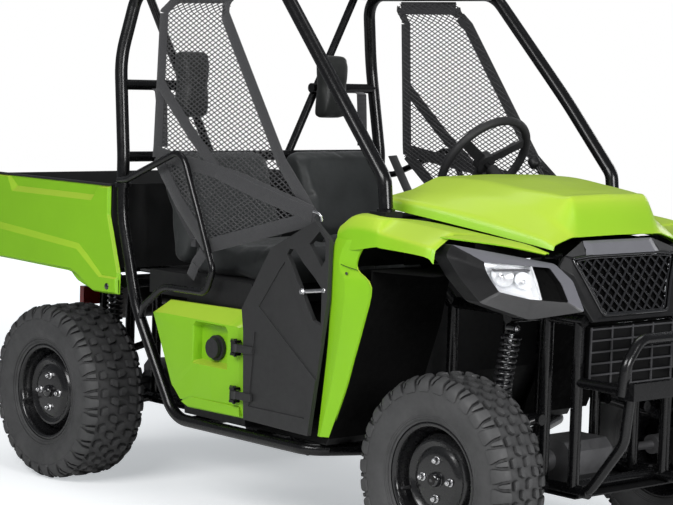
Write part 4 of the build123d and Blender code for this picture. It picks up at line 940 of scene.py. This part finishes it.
nose_rim, grille_rim = both_ways(nose_right), both_ways(grille_right)
nose = Mesh()
drop = Vector((-12, 0, -4))
outer, inner = ([Vector(p) for p in loop] for loop in (nose_rim, grille_rim))
crest = [p.lerp(q, 0.5) + Vector((1.5, 0, 0.6)) for p, q in zip(outer, inner)]
rows = [[p + drop for p in outer], outer, crest, inner, [p + drop for p in inner]]
nose.grid(rows, close_v=True, close_u=True, flip=True)
nose.done("nose_surround", "black_plastic", bevel=1.6, angle=20, replaces=["nose_panel"], slot="grey_panel")
bar = Mesh()
bar_front = [(1092, -130, 968), (1092, 130, 968), (1114, 134, 936), (1114, -134, 936)]
bar_foot = [(1080, -152, 975), (1080, 152, 975), (1106, 164, 934), (1106, -164, 934)]
bar.block(bar_front, bar_foot, flip=True)
bar.done("badge_bar", "grey_bar", bevel=2.2, angle=10, segments=3, slot="grey_panel")
wedge = Mesh()
wedge_front = [(1081.5, -154, 974), (1107.5, -166, 937), (1108.5, -224, 933), (1106.5, -250, 938)]
wedge.block(wedge_front, [(x - 8, y + 4, z - 4) for x, y, z in wedge_front])
wedge.mirror().done("badge_wedges", "bezel_dark", bevel=1.2, angle=10, slot="grey_panel")

# painted shade: near-black boxes under the hood and behind the nose, filling gaps where the body's inside is in
# shade
shade_boxes = Mesh()
for low, high in (
    ((690, -236, 925), (1036, 236, 929)), ((1060, -150, 934), (1070, 150, 972)),
    ((690, -240, 925), (1030, -236, 965)), ((690, 236, 925), (1030, 240, 965)),
    ((960, 240, 925), (966, 470, 966)), ((960, -470, 925), (966, -240, 966)),
    ((676, -470, 880), (684, 470, 990)), ((500, -500, 1012), (620, 500, 1016)),
    ((1122, -176, 737), (1132, 176, 760)),
):
    shade_boxes.box(low, high)
shade_boxes.done("under_hood_painted_shade", "dark_void", bevel=1.5)

lattice_centre = Vector((1133, 0, 848))
lattice_out = Vector((0.952, 0, 0.305)).normalized()
lattice_up = lattice_out.cross(Vector((0, 1, 0))).normalized()
if lattice_up.z < 0:
    lattice_up.negate()


def on_lattice(u, v, out):
    """A point by its place across and up the grille's plane, and out from it."""
    return lattice_centre + Vector((0, u, 0)) + lattice_up * v + lattice_out * out


flat_rim = [(p[1], (Vector(p) - lattice_centre).dot(lattice_up)) for p in grille_rim]
lattice = Mesh()
diamond = 40.0  # across a diamond, corner to corner
for lean in (-1, 1):
    d = (lean * sqrt(0.5), sqrt(0.5))
    lift = -4.6 + 0.25 * lean
    for k in range(-13, 14):
        p = (k * diamond, 0.0)
        for t0, t1 in clip_line(p, d, [(a * 0.97, b * 0.97) for a, b in flat_rim]):
            ends = [on_lattice(p[0] + d[0] * t, d[1] * t, lift) for t in (t0, (t0 + t1) / 2, t1)]
            across = Vector((0, d[1], 0)) - lattice_up * d[0]
            lattice.strap(ends, 7.0, 7.0, across)
lattice.done("grille_lattice", "gloss_black", bevel=1.3, angle=20, replaces=["grille"], slot="black_plastic")
# painted shade: a near-black sheet behind the lattice
shade_sheet = Mesh()
back_rows = ((-84, 140), (8, 184), (80, 222), (86, 148))  # place up the grille's plane, half width
shade_sheet.shell([[on_lattice(u * half, v, -13) for u in (-1, 0, 1)] for v, half in back_rows], 1.5, (1000, 0, 800))
shade_sheet.done("grille_shade_sheet", "dark_void")
surround = Mesh()
loop = rounded(grille_rim, 16, 5)
surround.tube([p + Vector((2.5, 0, 1)) for p in loop], 4.2, closed=True)
inner_loop = [on_lattice(p.y * 0.93, (p - lattice_centre).dot(lattice_up) * 0.93, 0.5) for p in loop]
surround.tube(inner_loop, 2.6, 10, closed=True)
surround.done("grille_surround", "gloss_black", angle=60)

# ---------------------------------------------------------------- CAD nodes that stay, with a finished material
for material, names in {
    "tube_paint": "frame_sides frame_bars cage_right cage_left cage_bars hip_guards front_bumper suspension_arms "
                  "tow_hitch hinges",
    "black_plastic": "floor_pan skid_plate seat_base dash controls",
    "dark_void": "fender_liners",
    "cast_iron": "rear_hubs knuckle_right knuckle_left",
    "cast_alloy": "driveline engine_block",
    "radiator_and_guard": "radiator",
    "exhaust_steel": "muffler",
    "red_lens": "tail_lights",
    "soft_rubber": "fuel_cap steering_wheel",
    "textured_plastic": "bed_tub tailgate",
}.items():
    for name in names.split():
        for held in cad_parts[name].material_slots:
            held.material = mat[material]
for side in ("right", "left"):
    dressed("door_" + side, "door_plastic", "door_" + side, 1.6, "black_plastic")

latch = Mesh()
latch.tube([(390, -603, 780), (442, -603, 787), (494, -603, 794)], 6.5, 10)
for x, z in ((392, 780), (492, 794)):
    latch.bolt((x, -609, z), (0, -1, 0), 16, 5)
latch.tube([(436, -613.5, 1022), (462, -615, 1019), (475, -615, 1010), (476, -613.5, 996)], 3.6, 8)
latch.done("door_latch_right", "zinc_plate", "door_right", bevel=0.5)
latch.flipped().done("door_latch_left", "zinc_plate", "door_left", bevel=0.5)


# ---------------------------------------------------------------- springs and dampers
def shock_pieces(top, bottom, coils):
    """Damper, spring, seats and eyes of one shock absorber, by what each is made of."""
    top, bottom = Vector(top), Vector(bottom)
    axis = (top - bottom).normalized()
    side = axis.orthogonal().normalized()
    up = axis.cross(side)
    length = (top - bottom).length
    coil, steel, black = Mesh(), Mesh(), Mesh()
    start, end = 50.0, length - 28.0  # of the spring, up from the lower eye
    coil_radius, wire_radius = 25.0, 4.6
    run = []
    steps = int(coils * 20)
    for t in (k / steps for k in range(steps + 1)):
        a = 2 * pi * coils * t
        h = start + 5 + (end - start - 10) * t
        run.append(bottom + axis * h + (side * cos(a) + up * sin(a)) * coil_radius)
    coil.tube(run, wire_radius, 8)
    steel.disc_rod(bottom + axis * (length * 0.52), axis, 7, length * 0.48 - 18, 20)
    black.disc_rod(bottom + axis * 12, axis, 20, length * 0.5, 28, 2)
    black.disc_rod(bottom + axis * (length * 0.5 + 12), axis, 16, 8, 28, 2)
    for h, r, t in ((start - 8, 30, 6), (start - 16, 26, 7), (end - 2, 30, 6)):
        black.disc_rod(bottom + axis * h, axis, r, t, 36, 1.5)
    for eye in (top, bottom):
        black.lathe([(8, -15), (15, -15), (15, 15), (8, 15), (8, -15)], eye, (1, 0, 0), 24)
        steel.disc_rod(eye - Vector((17, 0, 0)), (1, 0, 0), 7.4, 34, 16, 1)
        steel.bolt(eye + Vector((17, 0, 0)), (1, 0, 0), 15)
    return coil, steel, black


coils, rods, bodies = Mesh(), Mesh(), Mesh()
for top, bottom, n in (
    ((965, -305, 719.7), (927.5, -322, 453.4), 10.5),
    ((-950, -305, 679.7), (-927.5, -330, 449.7), 8.5),
):
    for bag, piece in zip((coils, rods, bodies), shock_pieces(top, bottom, n)):
        bag.put(piece.verts, piece.faces)
coils.mirror().done("shock_springs", "spring_paint", angle=60, replaces=["shocks"], slot="frame_paint")
rods.mirror().done("shock_rods", "zinc_plate", slot="bare_steel")
bodies.mirror().done("shock_bodies", "gloss_black", slot="frame_paint")


# ---------------------------------------------------------------- seats
def resample(loop, count):
    """A closed loop of (a, b) corners with its points evenly spread."""
    pts = [Vector((a, b)) for a, b in loop]
    pts.append(pts[0])
    lengths = [0.0]
    for p, q in zip(pts, pts[1:]):
        lengths.append(lengths[-1] + (q - p).length)
    out, k = [], 0
    for s in range(count):
        d = lengths[-1] * s / count
        while lengths[k + 1] < d:
            k += 1
        out.append(pts[k].lerp(pts[k + 1], (d - lengths[k]) / (lengths[k + 1] - lengths[k])))
    return out


def evaluated(obj):
    """Replaces an object's mesh with what its modifiers make of it."""
    graph = bpy.context.evaluated_depsgraph_get()
    mesh = bpy.data.meshes.new_from_object(obj.evaluated_get(graph), depsgraph=graph)
    obj.modifiers.clear()
    obj.data = mesh
    return obj


voxel = 0.006  # metres, of the remeshed cushions
pressure = 4.0  # inside them
frames = 20  # of their simulation


def inflate(obj, cap):
    """Turns a closed form into stuffed fabric: remesh, cloth under pressure, movement up to cap metres."""
    mod = obj.modifiers.new("remesh", "REMESH")
    mod.mode, mod.voxel_size, mod.use_smooth_shade = "VOXEL", voxel, True
    evaluated(obj)
    rest = np.zeros(len(obj.data.vertices) * 3)
    obj.data.vertices.foreach_get("co", rest)
    cloth = obj.modifiers.new("cloth", "CLOTH")
    cloth.settings.use_pressure = True
    cloth.settings.uniform_pressure_force = pressure
    cloth.settings.effector_weights.gravity = 0
    cloth.settings.quality = 6
    cloth.settings.tension_stiffness = cloth.settings.compression_stiffness = 12
    cloth.settings.bending_stiffness = 1.5
    cloth.point_cache.frame_start, cloth.point_cache.frame_end = 1, frames
    for f in range(1, frames + 1):
        scene.frame_set(f)
    evaluated(obj)
    scene.frame_set(1)
    now = np.zeros_like(rest)
    obj.data.vertices.foreach_get("co", now)
    move = (now - rest).reshape(-1, 3)
    far = np.linalg.norm(move, axis=1, keepdims=True)
    move *= np.minimum(1, cap / np.maximum(far, 1e-9))
    obj.data.vertices.foreach_set("co", rest + move.ravel())
    mod = obj.modifiers.new("even", "SMOOTH")
    mod.factor, mod.iterations = 0.5, 6
    evaluated(obj)
    obj.data.polygons.foreach_set("use_smooth", [True] * len(obj.data.polygons))
    return obj


def padding(name, outline, centre_y, half, material, shrink, round_by, cap, corner, dish=None):
    """A cushion from its side outline and half width: pulled-in sides, rounded corners, stuffed by simulation."""
    n = 72  # points round the outline
    loop = resample([(p.x, p.y) for p in rounded([(a, b, 0) for a, b in outline], corner, 4)], n)
    cx, cz = sum(p.x for p in loop) / n, sum(p.y for p in loop) / n
    rows = []
    for s in (-1, -0.985, -0.95, -0.9, -0.8, -0.6, -0.35, 0, 0.35, 0.6, 0.8, 0.9, 0.95, 0.985, 1):
        edge = max(0.0, (abs(s) * half - (half - round_by)) / round_by)
        pull = 1 - sqrt(max(0.0, 1 - edge**2)) if edge else 0.0
        row = []
        for p in loop:
            d = Vector((p.x - cx, p.y - cz))
            inset = shrink + pull * round_by * 0.55
            q = d * max(0.2, 1 - inset / max(d.length, 1))
            x, z = cx + q.x, cz + q.y
            if dish:
                x, z = dish(x, z, s)
            row.append((x, centre_y + s * (half - shrink), z))
        rows.append(row)
    form = Mesh().grid(rows, close_v=True)
    form.ends(0, len(rows), n, 1)
    obj = form.done(name, material, body=None)
    work = bmesh.new()
    work.from_mesh(obj.data)
    bmesh.ops.recalc_face_normals(work, faces=work.faces)
    work.to_mesh(obj.data)
    work.free()
    return inflate(obj, cap)


def pair(obj, node, fill):
    """Sets a right-hand soft piece and its mirror image in place of a CAD node."""
    other = obj.copy()
    other.data = obj.data.copy()
    other.name = obj.name.replace("right", "left")
    scene.collection.objects.link(other)
    other.data.transform(Matrix.Scale(-1, 4, (0, 1, 0)))
    other.data.flip_normals()
    for piece in (obj, other):
        mod = piece.modifiers.new("smooth", "SUBSURF")
        mod.levels = mod.render_levels = 1
        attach(piece, "chassis")
    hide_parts(node)


seat_foot = 770.3  # just above the seat base
cushion_outline = [
    (-338, seat_foot), (128, seat_foot), (156, 800), (152, 852), (118, 880), (-120, 868), (-304, 872),
]
back_outline = [
    (-346, seat_foot), (-312, 874), (-372, 1020), (-424, 1142), (-452, 1163), (-496, 1160), (-516, 1132),
    (-430, 870), (-400, seat_foot),
]
head_x = -569.7  # just in front of the bar behind it
head_outline = [
    (head_x, 1262), (head_x + 20, 1255), (head_x + 58, 1262), (head_x + 66, 1300), (head_x + 66, 1440),
    (head_x + 54, 1480), (head_x + 16, 1484), (head_x, 1470),
]


def cushion_dish(x, z, s):
    top = max(0.0, min(1.0, (z - 850) / 25))
    return x, z - 9 * top * (1 - abs(s) ** 2.5) * (1 if x < 90 else 0.4)


def back_dish(x, z, s):
    front = max(0.0, min(1.0, (x + 330 + (z - 880) * 0.42) / 60 + 0.6)) if z > 850 else 0
    return x - 14 * front * (1 - abs(s) ** 2.2) * (1 if z < 1120 else 0.4), z


right_side = [(padding(name + "_right", *form), node, fill) for name, node, fill, *form in (
    ("seat_cushion", "seat_cushions", 0.8, cushion_outline, -270, 222, "seat_vinyl", 8, 44, 0.010, 26, cushion_dish),
    ("seat_back", "seat_backs", 0.8, back_outline, -270, 216, "seat_vinyl", 8, 54, 0.010, 24, back_dish),
    ("headrest_pad", "headrests", 0.9, head_outline, -314, 56, "headrest_vinyl", 3, 12, 0.004, 12),
)]
for piece in right_side:
    pair(*piece)
belts = Mesh()
belt_top = [(-545, -452, 1352), (-528, -452, 1345), (-522, -450, 1300), (-517, -450, 1225), (-514, -450, 1162)]
belt_low = [
    (-424, -516, 1130), (-408, -518, 1104), (-362, -519, 1038), (-314, -520, 971), (-270, -520, 922),
    (-230, -520, 879),
]
for run, width in ((belt_top, 46), (belt_low, 44)):
    belts.strap(run, width, 2.4, (0, 1, 0))
belts.box((-240, -535, 858), (-216, -500, 884))
belts.mirror().done("seat_belts", "webbing", bevel=0.6)
buttons = Mesh()
for z in (1314, 1406):
    buttons.bolt((-508.5, -314, z), (1, 0, 0), 15, 5)
buttons.mirror().done("headrest_buttons", "tube_paint", bevel=0.6)

# ---------------------------------------------------------------- side nets
net_levels = [(765, -578), (1000, -580), (1125, -560), (1163, -556), (1606, -536), (1640, -502), (1678.4, -496)]
net_outline = [
    (-404, 1670), (-104, 1670), (-98, 1631), (240, 1158), (421, 994), (-104, 859), (-409, 1128), (-415, 1604),
]


def net_y(z):
    for (z0, y0), (z1, y1) in zip(net_levels, net_levels[1:]):
        if z <= z1:
            return y0 + (y1 - y0) * (z - z0) / (z1 - z0)
    return net_levels[-1][1]


def on_net(a, b, steps, out):
    """A run from one (x, z) to another, out from the net's plane."""
    run = []
    for t in (s / steps for s in range(steps + 1)):
        x, z = a[0] + (b[0] - a[0]) * t, a[1] + (b[1] - a[1]) * t
        run.append((x, net_y(z) + out, z))
    return run


strands = Mesh()
lean = radians(27)  # of the net's cords
spacing = 13.4
shortest = 12  # a cord worth making
for family in (-1, 1):
    d = (cos(lean) * family, sin(lean))
    for k in range(-110, 111):
        p = (-d[1] * k * spacing, 1200 + d[0] * k * spacing)
        for t0, t1 in clip_line(p, d, net_outline):
            if t1 - t0 >= shortest:
                a, b = ([p[0] + d[0] * t, p[1] + d[1] * t] for t in (t0, t1))
                strands.tube(on_net(a, b, max(2, int((t1 - t0) / 34)), -0.8 * family), 1.7, 6)
net_cut = sum((a[0] * b[1] - b[0] * a[1]) / 2 for a, b in looped(net_outline)) / 1e6  # square metres
net = strands.done("side_net_right", "webbing", angle=60, replaces=["side_nets"], slot="net_web")
net_left = strands.flipped().done("side_net_left", "webbing", angle=60, slot="net_web")

bands = Mesh()
inner = [
    (-390, 1655), (-118, 1655), (-112, 1626), (226, 1152), (408, 1000), (-100, 872), (-395, 1135), (-402, 1600),
]
for a, b in looped(inner):
    d = Vector((b[0] - a[0], 0, b[1] - a[1])).normalized()
    bands.strap(on_net(a, b, 14, -3.0), 44, 3.2, (d.z, 0, -d.x))
for run in (
    [(-400, 1376), (-217, 1218), (-69, 1105), (127, 1060), (402, 1006)],
    [(-390, 1150), (-295, 1136), (45, 1092), (402, 1014)],
    [(-112, 850), (-150, 812), (-175, 768)],
):
    points = [p for a, b in zip(run, run[1:]) for p in on_net(a, b, 6, -6.0)]
    last = len(points) - 1
    steps = [Vector(points[min(k + 1, last)]) - Vector(points[max(k - 1, 0)]) for k in range(last + 1)]
    bands.strap(points, 42, 3.0, [Vector((d.z, 0, -d.x)).normalized() for d in steps])
band_r = bands.done("net_bands_right", "webbing", angle=40, slot="net_web")
band_l = bands.flipped().done("net_bands_left", "webbing", angle=40, slot="net_web")

# ---------------------------------------------------------------- floor, lights and camera
paper = Material("studio_paper")
tone = paper.ramp(paper.noise(0.6, 2), [(0.3, (0.80, 0.80, 0.80)), (0.7, (0.84, 0.84, 0.84))])
paper.link(tone, paper.bsdf.inputs["Base Color"])
away = paper.add("VectorMath", operation="LENGTH")
paper.link(paper.place, away.inputs[0])
glow = paper.remap(away.outputs["Value"], 0.46, 0.95, 2.4, 7.0)  # brighter far from the car
paper.link(paper.math("MULTIPLY", paper.seen(), glow), paper.bsdf.inputs["Emission Strength"])
paper.set(Roughness=0.9, Emission_Color=(0.93, 0.97, 1.0, 1.0), Specular_IOR_Level=0.1)
floor = Mesh()
floor.grid([[(x, y, -0.2) for y in (-9000, 0, 9000)] for x in (-9000, 0, 9000)], flip=True)
floor.done("studio_floor", "studio_paper", body=None)

# the world: soft light on the car, white to the camera
scene.world = bpy.data.worlds.new("studio")
scene.world.use_nodes = True
sky = Nodes(scene.world.node_tree)
sky.tree.nodes.clear()
both = sky.add("MixShader")
sky.link(sky.seen(), both.inputs["Fac"])
for socket, colour, strength in ((1, (0.82, 0.85, 0.9, 1), 0.22), (2, (1, 1, 1, 1), 1.0)):
    sky.link(sky.add("Background", Color=colour, Strength=strength).outputs["Background"], both.inputs[socket])
sky.link(both.outputs["Shader"], sky.add("OutputWorld").inputs["Surface"])

for name, place, target, size, power in (  # metres and watts
    ("key", (1.4, -4.8, 3.8), (0, 0, 0.6), (3.4, 1.8), 215),
    ("front", (6.4, -1.2, 2.4), (0.5, 0, 0.7), (2.2, 1.8), 240),
    ("top", (-0.5, 0.5, 6.0), (0, 0, 0.5), (3.6, 2.4), 70),
    ("left", (0, 6.0, 3.0), (0, 0, 0.7), (3, 1.6), 60),
):
    light = bpy.data.lights.new(name, "AREA")
    light.shape, light.energy = "RECTANGLE", power
    light.size, light.size_y = size
    lamp = bpy.data.objects.new(name, light)
    scene.collection.objects.link(lamp)
    lamp.location = place
    lamp.rotation_euler = (Vector(target) - Vector(place)).to_track_quat("-Z", "Y").to_euler()

eye = Vector((5.1396, -4.7665, 1.4778))
yaw, pitch, roll = radians(137.9), radians(5.23), radians(1.77)
forward = Vector((cos(pitch) * cos(yaw), cos(pitch) * sin(yaw), -sin(pitch)))
flat_right = Vector((sin(yaw), -cos(yaw), 0))
flat_up = flat_right.cross(forward)
right = flat_right * cos(roll) + flat_up * sin(roll)
up = flat_up * cos(roll) - flat_right * sin(roll)
lens = bpy.data.cameras.new("camera")
lens.sensor_width, lens.lens = 36.0, 114.55
lens.clip_end = 100
camera = bpy.data.objects.new("camera", lens)
scene.collection.objects.link(camera)
camera.matrix_world = Matrix([(right[i], up[i], -forward[i], eye[i]) for i in range(3)] + [(0, 0, 0, 1)])
scene.camera = camera
scene.view_settings.view_transform = "Standard"
